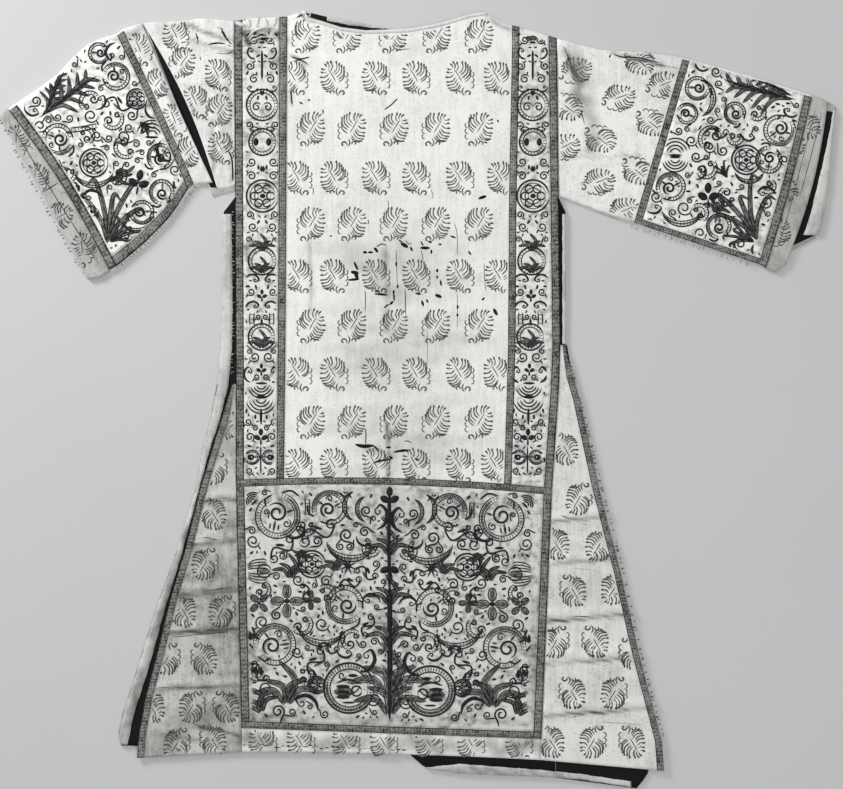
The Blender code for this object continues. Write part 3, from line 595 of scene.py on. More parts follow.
binding_silk = silk("binding_silk", (0.78, 0.775, 0.76), (0.42, 0.41, 0.40), 0.9)
x = np.linspace(304.9, 487.0, 60)[None, :] + np.zeros((4, 1))
y = np.interp(x, TOP_X, TOP_FRONT) + np.array([-0.4, 0.8, 2.4, 3.5])[:, None]
z = front_height(x, y)
arch = np.array([-0.0008, 0.0011, 0.0010, 0.0001])[:, None]
binding = lay_cloth("neck_edge", np.stack([x, y, z + arch], -1),
                    np.stack([x, y, z - 0.0012 + 0 * x], -1), binding_silk)
sew(binding, "neck_binding", "binding", ["front_panel"], *measure(np.stack([x, y], -1)))


# The orphreys are two bands of satin down the front from the shoulders, worked with couched cord.
# Each lies between an outer galloon of checked weave and an inner one woven like a ladder.
TRIM_LIFT = 0.0002
TRIM_WALL = 0.0009
TRIM_TOP = TRIM_LIFT + TRIM_WALL
FLOSS_RISE = 0.0003
ORPHREY_CORD_RISE = 0.0007


def satin(name, pale, dark):
    """Worn satin ground, darker where it is rubbed, with fine threads."""
    material, shader, tree, where = cloth_material(name, 0.55, 0.2)
    clouds = noise(tree, where, 16.0, 6.0)
    rubbed = noise(tree, where, 110.0, 5.0)
    slubs = noise(tree, where, 420.0, 2.0, (0.1, 1.0, 1.0))
    share = ((clouds - 0.43) * 1.2 + (rubbed - 0.48) * 2.4 + (slubs - 0.5) * 0.5).clipped()
    # The attribute read here darkens the satin for real dirt and also as painted shade in creases and
    # puckers.
    shade_and_dirt_level = tree.node("Attribute", {"attribute_name": "soil"}, output=2) * (0.3 + rubbed * 1.3)
    colour = shade_and_dirt_level.clipped().darker(share.tint(pale, dark), (0.07, 0.068, 0.064))
    dye(tree, shader, colour, 0.45 + rubbed * 0.3)
    raise_surface(tree, shader, rubbed + slubs * 0.5 + threads(tree, where, 0.0008) * 0.3, 0.0004, 0.7)
    return material


def galloon_weave(name, pale, dark, width, ladder, upright):
    """Woven metal-thread braid: dark selvedges and bars or checks between them."""
    material, shader, tree, where = cloth_material(name, 0.5, 0.1)
    lay = tree.node("UVMap", {"uv_map": "lay"})
    split = tree.node("SeparateXYZ", {}, {0: lay})
    first, second = split, Shade(split.tree, split.socket.node.outputs[1])
    across, along = (first, second) if upright else (second, first)
    edge = (abs(across - width / 2) * (2 / width) - 0.72) * 6.0
    bars = tree.maths("SINE", along * (2 * math.pi / ladder)) * 0.5 + 0.5
    checks = tree.maths("SINE", across * (2 * math.pi / 0.0031)) * 0.5 + 0.5
    worn = noise(tree, where, 320.0, 3.0)
    blotch = noise(tree, where, 70.0, 4.0)
    pattern = bars * 0.34 + checks * 0.26 + (worn - 0.46) * 2.6 + (blotch - 0.48) * 1.8
    share = (pattern + edge.clipped() * 0.7).clipped()
    dye(tree, shader, share.tint(pale, dark), 0.42 + worn * 0.25)
    raise_surface(tree, shader, bars * 0.6 + checks * 0.3 + worn * 0.4, 0.0005, 0.9)
    return material


orphrey_satin = satin("orphrey_satin", (0.82, 0.815, 0.80), (0.07, 0.069, 0.066))
BRAID_PALE = (0.28, 0.277, 0.265)
BRAID_DARK = (0.014, 0.014, 0.013)
ladder_braid = galloon_weave("ladder_braid", (0.30, 0.297, 0.285), (0.016, 0.016, 0.015), 0.0112,
                             0.0046, True)
check_braid = galloon_weave("check_braid", BRAID_PALE, BRAID_DARK, 0.012, 0.0062, True)
for name, node, slot, start, end, material in (
    ("orphrey_band_left", "orphrey_left", "apparel_ground",
     lambda r: r[1] + 8.1, lambda r: r[2] - 7.6, orphrey_satin),
    ("orphrey_band_right", "orphrey_right", "apparel_ground",
     lambda r: r[3] + 7.6, lambda r: r[4] - 8.1, orphrey_satin),
    ("braid_left_outer", "galloon_left_outer", "galloon", lambda r: r[1] + 0.1, lambda r: r[1] + 7.9,
     check_braid),
    ("braid_left_inner", "galloon_left_inner", "galloon", lambda r: r[2] - 7.4, lambda r: r[2] - 0.1,
     ladder_braid),
    ("braid_right_inner", "galloon_right_inner", "galloon", lambda r: r[3] + 0.1, lambda r: r[3] + 7.4,
     ladder_braid),
    ("braid_right_outer", "galloon_right_outer", "galloon", lambda r: r[4] - 7.9, lambda r: r[4] - 0.1,
     check_braid),
):
    x, y = front_part(TOP_LEVEL, 479.9, start, end, 2.4, 2.6)
    piece = lay_on_front(name, x, y, TRIM_LIFT, TRIM_WALL, material)
    soil(piece)
    sew(piece, node, slot, ["front_panel"], *measure(np.stack([x, y], -1)))


def sweep(points, width, fine=1.3):
    """Cord laid in a smooth curve through points."""
    line = np.array(points, dtype=float)
    if len(line) == 2:
        line = np.array([line[0], line.mean(axis=0), line[1]])
    padded = np.concatenate([2 * line[:1] - line[1:2], line, 2 * line[-1:] - line[-2:-1]])
    made = []
    for a, b, c, d in zip(padded, padded[1:], padded[2:], padded[3:]):
        steps = max(int(np.hypot(*(c - b)) / fine), 1)
        for t in np.arange(steps) / steps:
            made.append(0.5 * (2 * b + (c - a) * t + (2 * a - 5 * b + 4 * c - d) * t ** 2
                               + (3 * b - a - 3 * c + d) * t ** 3))
    return np.array(made + [line[-1]]), width


def curl(x, y, radius, width, turns=1.4, start=0.0, hand=1, tail=None):
    """Cord wound inwards from an angle in degrees; tail is where it comes from."""
    steps = max(int(turns * radius * 2.6), 8)
    t = np.linspace(0, 1, steps)
    angle = math.radians(start) + hand * 2 * math.pi * turns * t
    reach = radius * (1 - 0.8 * t)
    line = np.stack([x + reach * np.cos(angle), y + reach * np.sin(angle)], axis=-1)
    if tail is not None:
        way = line[0] - line[1]
        bend = line[0] + way / np.hypot(*way) * np.hypot(*(np.array(tail) - line[0])) * 0.45
        s = np.linspace(0, 1, 10)[:-1, None]
        lead = (1 - s) ** 2 * np.array(tail) + 2 * s * (1 - s) * bend + s ** 2 * line[0]
        line = np.concatenate([lead, line])
    return line, width


def hoop(x, y, radius, width, start=0.0, end=360.0, squash=1.0):
    """Cord laid round in a circle or part of one."""
    steps = max(int(abs(end - start) / 360 * radius * 5), 6)
    angle = np.radians(np.linspace(start, end, steps))
    return np.stack([x + radius * np.cos(angle), y + radius * squash * np.sin(angle)], axis=-1), width


def knot(x, y, long, wide, turn=0.0):
    """Padded dot or petal of cord, pointed at its ends."""
    way = np.array([math.cos(math.radians(turn)), math.sin(math.radians(turn))]) * long / 2
    return np.linspace(np.array([x, y]) - way, np.array([x, y]) + way, 5 if wide < 3 else 12), wide


def rungs(first, second, pitch, width):
    """Short bars across the band between two curves."""
    length = np.concatenate([[0], np.cumsum(np.hypot(*np.diff(first, axis=0).T))])
    count = max(int(length[-1] / pitch), 2)
    share = (np.arange(count) + 0.5) / count
    bars = []
    for s in share:
        ends = [np.array([np.interp(s, np.linspace(0, 1, len(line)), line[:, k]) for k in (0, 1)])
                for line in (first, second)]
        bars.append((np.linspace(ends[0], ends[1], 3), width))
    return bars


def inside(x, y, outline):
    """Whether places on the plan lie within an outline."""
    outline = np.array(outline, dtype=float)
    ends = np.roll(outline, -1, axis=0)
    x, y = np.atleast_1d(x)[:, None], np.atleast_1d(y)[:, None]
    over = (outline[:, 1] > y) != (ends[:, 1] > y)
    rise = np.where(ends[:, 1] == outline[:, 1], 1e-9, ends[:, 1] - outline[:, 1])
    cross = outline[:, 0] + (y - outline[:, 1]) * (ends[:, 0] - outline[:, 0]) / rise
    return (over & (x < cross)).sum(1) % 2 == 1


def kept_on(strokes, outline):
    """The parts of the strokes that lie within an outline on the plan."""
    made = []
    for line, width in strokes:
        held = inside(line[:, 0], line[:, 1], outline)
        stops = np.flatnonzero(np.diff(np.concatenate([[0], held, [0]]).astype(int)))
        for first, last in zip(stops[::2], stops[1::2]):
            if last - first >= 3:
                made.append((line[first:last], width))
    return made


def turned(strokes, x, y, angle, flip):
    """Strokes mirrored if asked, turned by degrees and moved to a place."""
    c, s = math.cos(math.radians(angle)), math.sin(math.radians(angle))
    turn = np.array([[c, s], [-s, c]])
    return [((line * (flip, 1)) @ turn + (x, y), width) for line, width in strokes]


def outlined(strokes, width=1.2):
    """Thin cord round each petal or leaf."""
    made = []
    for line, wide in strokes:
        way = np.gradient(line, axis=0)
        way /= np.maximum(np.linalg.norm(way, axis=1, keepdims=True), 1e-9)
        side = np.stack([-way[:, 1], way[:, 0]], axis=-1)
        half = (wide / 2 * np.sqrt(np.maximum(np.sin(np.linspace(0, np.pi, len(line))), 0)))[:, None]
        made += [(line + side * half, width), (line - side * half, width)]
    return made


def spiral(size):
    """Curl of cord with a bud beside its foot."""
    return [curl(0, 0, size, 1.9, 1.5), knot(size * 0.9, size * 0.9, size * 0.8, 1.9, 60)], []


def volute(size):
    """Banded scroll: two cords with bars between them round a curl that springs from one end."""
    t = np.linspace(0, 1, max(int(size * 3.2), 18))
    angle, reach, band = 1.86 * math.pi * t, size * (1 - 0.1 * t), size * 0.22
    rim, inner = [np.stack([r * np.cos(angle), r * np.sin(angle)], -1) for r in (reach, reach - band)]
    cords = [(rim, 1.7), (inner, 1.4), *rungs(rim, inner, 3.3, 1.2)]
    cords += [curl(size * 0.14, -size * 0.02, size * 0.44, 2.7, 1.5, 300)]
    cords += [sweep([(size * 0.86, -size * 0.36), (size * 0.6, -size * 0.62),
                     (size * 0.3, -size * 0.52)], 2.2)]
    cords += [sweep([(size, 0), (size * 1.16, size * 0.4), (size * 0.98, size * 0.8)], 2.4)]
    if size > 13:
        cords += [curl(-size * 0.24, size * 0.46, size * 0.2, 1.7, 1.3),
                  knot(size * 0.3, size * 0.5, size * 0.3, 2.4, 60)]
        cords += [sweep([(-size * 0.6, size * k), (-size * 0.34, size * k)], 2.0)
                  for k in (-0.22, -0.04, 0.14)]
    floss = [(((rim + inner) / 2)[4:len(rim) // 2], size * 0.16)]
    return cords, [*floss, knot(-size * 0.44, -size * 0.04, size * 0.5, 4)]


def rosette(size):
    """Ring with six rings as petals round a dark middle."""
    spots = [(size * 0.5 * math.cos(k * 1.047), size * 0.5 * math.sin(k * 1.047)) for k in range(6)]
    cords = [hoop(0, 0, size, 2.3), hoop(0, 0, size * 0.8, 1.3), knot(0, 0, size * 0.36, size * 0.36)]
    cords += [hoop(*spot, size * 0.24, 1.9) for spot in spots]
    return cords, [hoop(0, 0, size * 0.5, size * 0.14)]


def leaves(size, count=5, spread=120, wide=0.12, bend=0.2):
    """Fan of narrow leaves that spring from one foot, floss edged with cord."""
    floss = []
    for k in range(count):
        angle = math.radians(spread * (k / max(count - 1, 1) - 0.5))
        way = np.array([math.sin(angle), -math.cos(angle)]) * size
        way = way * (1 - 0.25 * abs(math.sin(angle)) - 0.14 * (k % 2))
        bow = np.array([-way[1], way[0]]) * bend * (1 if angle > 0 else -1)
        floss.append(sweep([way * 0.08, way * 0.55 - bow, way + bow * 0.7], size * wide))
    return outlined(floss, 1.5), floss


def bell(size):
    """Bell flower of nested arcs."""
    cords = [hoop(0, size * 0.3, size * k, 1.9, 195, 345, 1.05) for k in (0.36, 0.58, 0.8, 1.02)]
    return [*cords, knot(0, size * 0.36, size * 0.9, 3)], []


def trefoil(size):
    """Three dark lobes on a stalk."""
    return [knot(0, -size * 0.5, size * 0.9, size * 0.7, 90),
            knot(-size * 0.45, size * 0.2, size * 0.9, size * 0.75, 30),
            knot(size * 0.45, size * 0.2, size * 0.9, size * 0.75, -30),
            knot(0, size * 0.8, size * 0.8, 2.4, 90)], []


def strap(size):
    """Straight banded strap with bars."""
    one, two = [sweep([(k, -size), (k + 0.6, 0), (k, size)], 1.7) for k in (-2.1, 2.1)]
    return [one, two, *rungs(one[0], two[0], 3.3, 1.3)], []


def hook(size):
    """Dark hooked leaf."""
    floss = [sweep([(-size, 0), (-size * 0.5, size * 0.5), (size * 0.3, size * 0.55), (size * 0.8, 0),
                    (size * 0.5, -size * 0.3)], size * 0.34)]
    return [*floss, curl(size * 0.3, -size * 0.1, size * 0.3, 1.8, 1.1, 0, -1)], floss


def star(size):
    """Small star of rays."""
    cords = [knot(0, 0, size * 2, 2.1, 22 + 45 * k) for k in range(4)]
    return [*cords, knot(0, 0, size * 0.7, size * 0.7)], []


def worked(table):
    """Cords and floss of motifs: kind, x, y, size, then a turn in degrees and -1 to mirror, if any."""
    cords, floss = [], []
    for motif, x, y, size, *way in table:
        turn, flip = way + [0, 1][len(way):]
        for found, kept in zip(motif(size), (cords, floss)):
            kept += turned(found, x, y, turn, flip)
    return cords, floss


def fill_gaps(strokes, outline, seed, sizes=(7.4, 6.0, 4.8, 3.8, 2.9, 2.1)):
    """Small curls, rings and buds for the bare places between strokes, within an outline."""
    chance = random.Random(seed)
    edge = np.array(outline, dtype=float)
    taken = [np.column_stack([line, np.full(len(line), width / 2)]) for line, width in strokes]
    for a, b in zip(edge, np.roll(edge, -1, axis=0)):
        rim = np.linspace(a, b, max(int(np.hypot(*(b - a)) / 2), 2))
        taken.append(np.column_stack([rim, np.zeros(len(rim))]))
    taken = np.concatenate(taken)
    made = []
    for size in sizes:
        for _ in range(700):
            spot = np.array([chance.uniform(edge[:, k].min(), edge[:, k].max()) for k in (0, 1)])
            room = (np.hypot(*(taken[:, :2] - spot).T) - taken[:, 2]).min()
            if room > size and inside(*spot, edge)[0]:
                turn, hand = chance.uniform(0, 360), chance.choice((-1, 1))
                if size > 3:
                    way = np.array([math.cos(math.radians(turn)), math.sin(math.radians(turn))])
                    foot = spot + way * size * 1.5 - np.array([-way[1], way[0]]) * size * hand
                    made.append(curl(*spot, size - 0.6, 1.3 + size * 0.12, 1.5, turn, hand,
                                     tuple(foot)))
                else:
                    made.append(knot(*spot, size * 1.7, size * 0.9, turn))
                taken = np.concatenate([taken, [[*spot, size - 0.2]]])
    return made


def couch(name, strokes, height, lift, rise, material, taper=0.35):
    """One mesh of cords: each has plan points and a width, and is raised along its middle."""
    lows, highs, tops, faces, start = [], [], [], [], 0
    for line, width in strokes:
        line = np.array(line, dtype=float)
        way = np.gradient(line, axis=0)
        way /= np.maximum(np.linalg.norm(way, axis=1, keepdims=True), 1e-9)
        side = np.stack([-way[:, 1], way[:, 0]], axis=-1)
        share = np.linspace(0, 1, len(line))
        if width >= 3 and np.hypot(*np.diff(line, axis=0).T).sum() < width * 12:
            half = width / 2 * np.sqrt(np.sin(np.pi * np.clip(share, 0.01, 0.99)))
        else:
            half = width / 2 * (0.25 + 0.75 * np.minimum(np.sin(np.pi * share) + 0.001, taper) / taper)
        lows.append(line + side * half[:, None])
        highs.append(line - side * half[:, None])
        tops.append(np.concatenate([line, half[:, None]], axis=1))
        n = len(line)
        i = np.arange(start, start + n - 1)
        low, top, high = 3 * i, 3 * i + 1, 3 * i + 2
        faces += np.stack([low, low + 3, top + 3, top], -1).tolist()
        faces += np.stack([top, top + 3, high + 3, high], -1).tolist()
        faces += np.stack([high, high + 3, low + 3, low], -1).tolist()
        last = 3 * (start + n - 1)
        faces += [[3 * start, 3 * start + 1, 3 * start + 2], [last, last + 2, last + 1]]
        start += n
    low, high, top = np.concatenate(lows), np.concatenate(highs), np.concatenate(tops)
    points = np.zeros((len(low), 3, 3))
    points[:, 0, :2], points[:, 1, :2], points[:, 2, :2] = low, top[:, :2], high
    points[..., 2] = height(points[..., 0], points[..., 1]) + lift
    points[:, (0, 2), 2] -= 0.0002
    points[:, 1, 2] += rise * np.minimum(top[:, 2] / 0.9, 1.4)
    points[..., 0] = (points[..., 0] - PLAN_CENTRE[0]) * PLAN_STEP
    points[..., 1] = (PLAN_CENTRE[1] - points[..., 1]) * PLAN_STEP
    mesh = bpy.data.meshes.new(name)
    mesh.from_pydata(points.reshape(-1, 3).tolist(), [], faces)
    mesh.polygons.foreach_set("use_smooth", np.ones(len(mesh.polygons), dtype=bool))
    mesh.materials.append(material)
    piece = bpy.data.objects.new(name, mesh)
    bpy.context.scene.collection.objects.link(piece)
    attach(piece, "root")
    return piece


def cord_material(name, pale, dark, roughness=0.5):
    """Twisted cord: nearly one tone, with its plies and some wear."""
    material, shader, tree, where = cloth_material(name, roughness, 0.1)
    worn = noise(tree, where, 180.0, 4.0)
    plies = noise(tree, where, 900.0, 1.0)
    share = ((worn - 0.42) * 2.6 + (plies - 0.5) * 0.8).clipped()
    dye(tree, shader, share.tint(dark, pale), 0.42 + plies * 0.3)
    raise_surface(tree, shader, plies, 0.0004, 0.6)
    return material


def both_sides(strokes, centre):
    """The strokes and their mirror images; x is counted from the middle line."""
    made = []
    for line, width in strokes:
        for sign in (-1, 1):
            made.append((line * (sign, 1) + (centre(line[:, 1].mean()), 0), width))
    return made


ORPHREY_HALF_WIDTH = 17.6
ORPHREY_PAIRS = (
    (spiral, 8, 40, 4.4), (hook, 10, 53, 7, -60), (spiral, 12, 66, 4.6, 90, -1),
    (spiral, 8, 79, 4.8, 200), (hook, 10, 88, 6), (spiral, 5.5, 107, 5.4, 120),
    (spiral, 13, 125, 4.2, 60), (hook, 8, 130, 5, 180, -1), (spiral, 11, 162, 4.8),
    (spiral, 11, 176, 4.8, 180, -1), (spiral, 12.5, 215, 4.2, 90), (spiral, 9.5, 227, 5, 0, -1),
    (hook, 9, 279, 7.4, 170), (spiral, 11, 292, 4.2), (hook, 9, 306, 7.4, 190),
    (strap, 9.5, 319, 6.5), (spiral, 4, 317, 3.2), (spiral, 7, 357, 5.6), (hook, 12, 374, 9, -80),
    (spiral, 5, 377, 3.6), (spiral, 13, 422, 4), (spiral, 6, 428, 3.4, 180, -1),
    (spiral, 11, 437, 4.8, 90), (volute, 8.6, 457, 7.6), (spiral, 11, 471, 4, 0, -1),
)
ORPHREY_SINGLES = (
    (star, 0, 93, 3), (bell, 0, 40, 7), (rosette, 0, 196, 16), (star, 0, 169, 4),
    (leaves, 0, 252, 19), (leaves, 0, 274, 18), (trefoil, 0, 295, 6), (leaves, 0, 349, 20),
    (trefoil, 0, 369, 6), (bell, 0, 388, 13, 180), (bell, 0, 402, 15, 180), (trefoil, 0, 436, 8),
)
ORPHREY_RINGS = (
    (105, 15.6), (142, 13.4), (261, 13.8), (337, 13.2),
)
pair_cords, pair_floss = worked(ORPHREY_PAIRS)
single_cords, single_floss = worked(ORPHREY_SINGLES)
for y, radius in ORPHREY_RINGS:
    rim, inner = hoop(0, y, radius, 2.2), hoop(0, y, radius - 3.4, 1.5)
    single_cords += [rim, inner, *rungs(rim[0], inner[0], 3.4, 1.2)]
single_cords += [sweep([(0, 50), (0, 80)], 2.8), knot(-6.4, 142, 8, 6.6, 90),
                 knot(6.4, 142, 8, 6.6, 90)]
single_cords += [sweep([(0, 408), (0, 425)], 3.4), sweep([(0, 446), (0, 474)], 2.0),
                 knot(0, 322, 8, 3, 90)]
half = [(0.6, 30), (ORPHREY_HALF_WIDTH, 30), (ORPHREY_HALF_WIDTH, 478), (0.6, 478)]
pair_cords = kept_on(pair_cords, half)
pair_cords += fill_gaps(pair_cords + kept_on(single_cords, half), half, 5)


def orphrey_middle(y):
    """Middle line of the left orphrey at a height on the plan."""
    return np.interp(y, (20, 200, 480), (261.8, 262.6, 260.6))


def right_middle(y):
    """Middle line of the right orphrey."""
    return np.interp(y, (20, 200, 480), (532.6, 533.0, 527.0))


dark_cord = cord_material("dark_cord", (0.026, 0.0257, 0.0245), (0.003, 0.003, 0.003), 0.9)
grey_floss = cord_material("grey_floss", (0.27, 0.267, 0.256), (0.05, 0.0495, 0.047), 0.65)
for side, middle in (("left", orphrey_middle), ("right", right_middle)):
    for name, pairs, singles, rise, material in (
        ("orphrey_floss_", pair_floss, single_floss, FLOSS_RISE, grey_floss),
        ("orphrey_cords_", pair_cords, single_cords, ORPHREY_CORD_RISE, dark_cord),
    ):
        strokes = both_sides(pairs, middle)
        strokes += [(line + (middle(line[:, 1].mean()), 0), width) for line, width in singles]
        at = np.linspace(middle(30) - ORPHREY_HALF_WIDTH - 1, middle(30) + ORPHREY_HALF_WIDTH + 1, 20)
        outline = [*zip(at, np.interp(at, TOP_X, TOP_FRONT) + 5.0), (at[-1] - 6, 480), (at[0] - 2, 480)]
        strokes = kept_on(strokes, outline)
        couch(name + side, strokes, front_height, TRIM_TOP, rise, material)


# A large square apparel of the same satin lies over the lower front, in a frame of four galloons
# that meet at the corners. It bears banded scrolls in couched cord.
apparel_satin = satin("apparel_satin", (0.72, 0.715, 0.70), (0.05, 0.0495, 0.047))
across_braid = galloon_weave("across_braid", (0.26, 0.257, 0.245), BRAID_DARK, 0.0105, 0.0046, False)
for name, node, slot, start, end, first, last, material in (
    ("apparel_panel", "apparel_front", "apparel_ground", lambda r: r[1] + 8.1, lambda r: r[4] - 8.1,
     487.1, 720.9, apparel_satin),
    ("frame_braid_top", "frame_top", "galloon", lambda r: r[1] + 0.1, lambda r: r[4] - 0.1,
     480.1, 486.9, across_braid),
    ("frame_braid_bottom", "frame_bottom", "galloon", lambda r: r[1] + 0.1, lambda r: r[4] - 0.1,
     721.1, 727.9, across_braid),
    ("frame_braid_left", "frame_left", "galloon", lambda r: r[1] + 0.1, lambda r: r[1] + 7.9,
     487.1, 720.9, check_braid),
    ("frame_braid_right", "frame_right", "galloon", lambda r: r[4] - 7.9, lambda r: r[4] - 0.1,
     487.1, 720.9, check_braid),
):
    x, y = front_part(first, last, start, end, 3.0, 3.0)
    piece = lay_on_front(name, x, y, TRIM_LIFT, TRIM_WALL, material)
    soil(piece)
    sew(piece, node, slot, ["front_panel"], *measure(np.stack([x, y], -1)))


# Half of the square apparel's ornament; the other half is its mirror image. Grey floss fills the
# bands, petals and leaves, and dark cord is couched over it. Small curls fill what is left bare.


def scroll(size):
    """Banded stem in a wide bow that winds up in a curl at each end."""
    angle = np.radians(np.linspace(-70, 125, int(size * 3)))
    rim, inner = [np.stack([r * np.cos(angle), r * np.sin(angle)], -1) for r in (size, size - 3.6)]
    cords = [(rim, 1.7), (inner, 1.4), *rungs(rim, inner, 3.2, 1.2)]
    for turn, share, hand in ((-70, 0.3, -1), (125, 0.42, 1)):
        reach = size * (1 - share) - 1.8
        c, s = math.cos(math.radians(turn)), math.sin(math.radians(turn))
        cords.append(curl(reach * c, reach * s, size * share, 2.2, 1.3, turn, hand))
    return cords + [knot(size * 1.1, size * 0.5, size * 0.5, 2.2, 100)], []


def crescent(size):
    """Part of a banded ring."""
    angle = np.radians(np.linspace(15, 165, int(size * 2) + 8))
    rim, inner = [np.stack([size * np.cos(angle), size * (k * np.sin(angle) - 0.45)], -1)
                  for k in (0.95, 0.7)]
    cords = [(rim, 1.9), (inner, 1.5), *rungs(rim, inner, 3.2, 1.3)]
    return cords, [((rim + inner)[5:-5] / 2, size * 0.12)]


def medal(size):
    """Banded ring round a small urn of bars."""
    rim, inner = hoop(0, 0, size, 2.5), hoop(0, 0, size * 0.76, 1.7)
    cords = [rim, inner, *rungs(rim[0], inner[0], 3.2, 1.4),
             hoop(size * 0.3, size * 0.12, size * 0.2, 2.2)]
    cords += [sweep([(-size * 0.52, size * k), (size * 0.04, size * k)], size * 0.19)
              for k in (-0.06, 0.15, 0.36)]
    cords += [sweep([(-size * 0.5, -size * 0.22), (0, -size * 0.34), (size * 0.5, -size * 0.16)], 2.4)]
    cords += [curl(-size * 0.28, -size * 0.5, size * 0.17, 1.8, 1.2),
              knot(size * 0.15, -size * 0.5, size * 0.4, 4)]
    cords += [crescent(size * 0.45)[0][0], knot(0, size * 0.58, size * 0.5, 2.4)]
    return cords, [hoop(0, 0, size * 0.88, size * 0.16, 10, 200),
                   knot(-size * 0.2, size * 0.15, size * 0.8, size * 0.6)]


def quatrefoil(size):
    """Four petals of floss edged with cord."""
    far = size * 0.6
    floss = [knot(far * math.cos(a), far * math.sin(a), size * 0.9, size * 0.5, math.degrees(a))
             for a in (0, math.pi / 2, math.pi, -math.pi / 2)]
    return [*outlined(floss, 1.6), knot(0, 0, size * 0.4, size * 0.34)], floss


def thistle(size):
    """Thistle head: a ring with combs of curved lines to one side."""
    cords = [hoop(size * 0.35, 0, size * 0.45, 1.8)]
    for k in range(1, 5):
        for sign in (-1, 1):
            cords.append(sweep([(-size, 0), (-size * 0.5, sign * size * 0.16 * k),
                                (size * 0.25, sign * size * 0.2 * k),
                                (size * 0.55, sign * size * 0.17 * k)], 1.6))
    return cords, [knot(size * 0.35, 0, size * 0.8, size * 0.7)]


def tendril(size):
    """Winding stem that ends in curls."""
    cords = [sweep([(-size, size * 0.3), (-size * 0.4, -size * 0.3), (size * 0.4, size * 0.3),
                    (size, -size * 0.3)], 2.3)]
    cords += [curl(-size * 0.72, size * 0.28, size * 0.3, 1.9, 1.3, 180, -1),
              knot(0, -size * 0.28, size * 0.6, 3.4, 30)]
    cords += [curl(size * 0.72, -size * 0.28, size * 0.3, 1.9, 1.3, 0, -1)]
    return cords, [knot(0, size * 0.2, size * 0.7, 4, 20)]


CORD_RISE = 0.0009
APPAREL_MIDDLE = 389.6
APPAREL_MOTIFS = (
    (volute, 277, 516, 23.5, -80), (volute, 330, 508, 18, 150), (strap, 307, 507, 9),
    (crescent, 350, 506, 15, 90), (crescent, 362, 509, 13, 90), (hook, 379, 516, 14, -80),
    (tendril, 282, 549, 16, -28), (tendril, 318, 533, 20, -12), (crescent, 350, 549, 25, 4),
    (thistle, 259, 571, 15), (rosette, 312, 564, 13.4), (leaves, 290, 579, 26, 4),
    (star, 348, 566, 9.5), (tendril, 366, 573, 12, 40), (quatrefoil, 287, 601, 16),
    (quatrefoil, 311, 600, 9.5), (quatrefoil, 259, 603, 11, 45), (volute, 345, 604, 20, 40),
    (hook, 371, 600, 10, 190), (volute, 275, 645, 22, 170), (crescent, 320, 634, 24, 8),
    (spiral, 322, 624, 7.5), (spiral, 262, 622, 7, 90), (hook, 252, 660, 13, 80),
    (tendril, 368, 626, 12, -50), (medal, 349, 688, 25), (leaves, 287, 706, 46, -2),
    (leaves, 262, 713, 30, -22), (hook, 306, 704, 14, -150), (rosette, 317, 685, 8.5),
    (tendril, 316, 662, 15, -45), (spiral, 266, 688, 8), (hook, 366, 660, 14, -60),
    (spiral, 374, 699, 7.5, 0, -1), (hook, 345, 652, 9, 20), (bell, 252, 500, 9, -45),
    (spiral, 253, 541, 7), (strap, 341, 640, 8, 12), (hook, 364, 540, 9, 30),
    (tendril, 306, 593, 10, 90), (spiral, 298, 580, 6), (spiral, 326, 581, 6, 180, -1),
    (spiral, 345, 491, 6), (leaves, 304, 549, 16, 200), (leaves, 336, 572, 22, -10),
    (tendril, 350, 583, 12), (hook, 296, 531, 11, -20), (tendril, 258, 672, 13, 60),
    (leaves, 249, 640, 14, 20), (spiral, 297, 652, 6), (tendril, 328, 648, 11, 30),
    (scroll, 306, 526, 10, 60), (scroll, 262, 590, 9, 10), (scroll, 326, 594, 10, -60),
    (scroll, 302, 624, 11, 20), (scroll, 352, 640, 11, 60, -1), (scroll, 304, 676, 10, -30),
    (scroll, 257, 672, 9, 80), (scroll, 371, 548, 9, 80),
)
CENTRE_MOTIFS = (
    (trefoil, 389.6, 497, 11), (bell, 389.6, 516, 9, 180), (leaves, 389.6, 556, 30),
    (trefoil, 389.6, 572, 11, 180), (leaves, 389.6, 606, 32), (leaves, 389.6, 646, 34),
    (leaves, 389.6, 700, 58), (leaves, 389.6, 716, 50),
)
centre_cords, centre_floss = worked(CENTRE_MOTIFS)
centre_cords += [sweep([(389.4, 489), (389, 540), (389.6, 590)], 4.4),
                 sweep([(389.6, 584), (390, 650), (389.6, 719)], 6.4)]
half_cords, half_floss = worked(APPAREL_MOTIFS)
half = [(245.5, 488.5), (388.5, 491), (388.5, 720), (250.5, 719)]
half_cords, half_floss = kept_on(half_cords, half), kept_on(half_floss, half)
half_cords += fill_gaps(half_cords + kept_on(centre_cords, half), half, 8)


def mirrored(strokes, middle, lean):
    """The strokes and their mirror images about an upright line; lean lowers the images a little."""
    return strokes + [(line * (-1, 1) + (2 * middle, lean), width) for line, width in strokes]


couch("apparel_floss", mirrored(half_floss, APPAREL_MIDDLE, 3.0) + centre_floss, front_height,
      TRIM_TOP, FLOSS_RISE, grey_floss)
couch("apparel_cords", mirrored(half_cords, APPAREL_MIDDLE, 3.0) + centre_cords, front_height,
      TRIM_TOP, CORD_RISE, dark_cord)


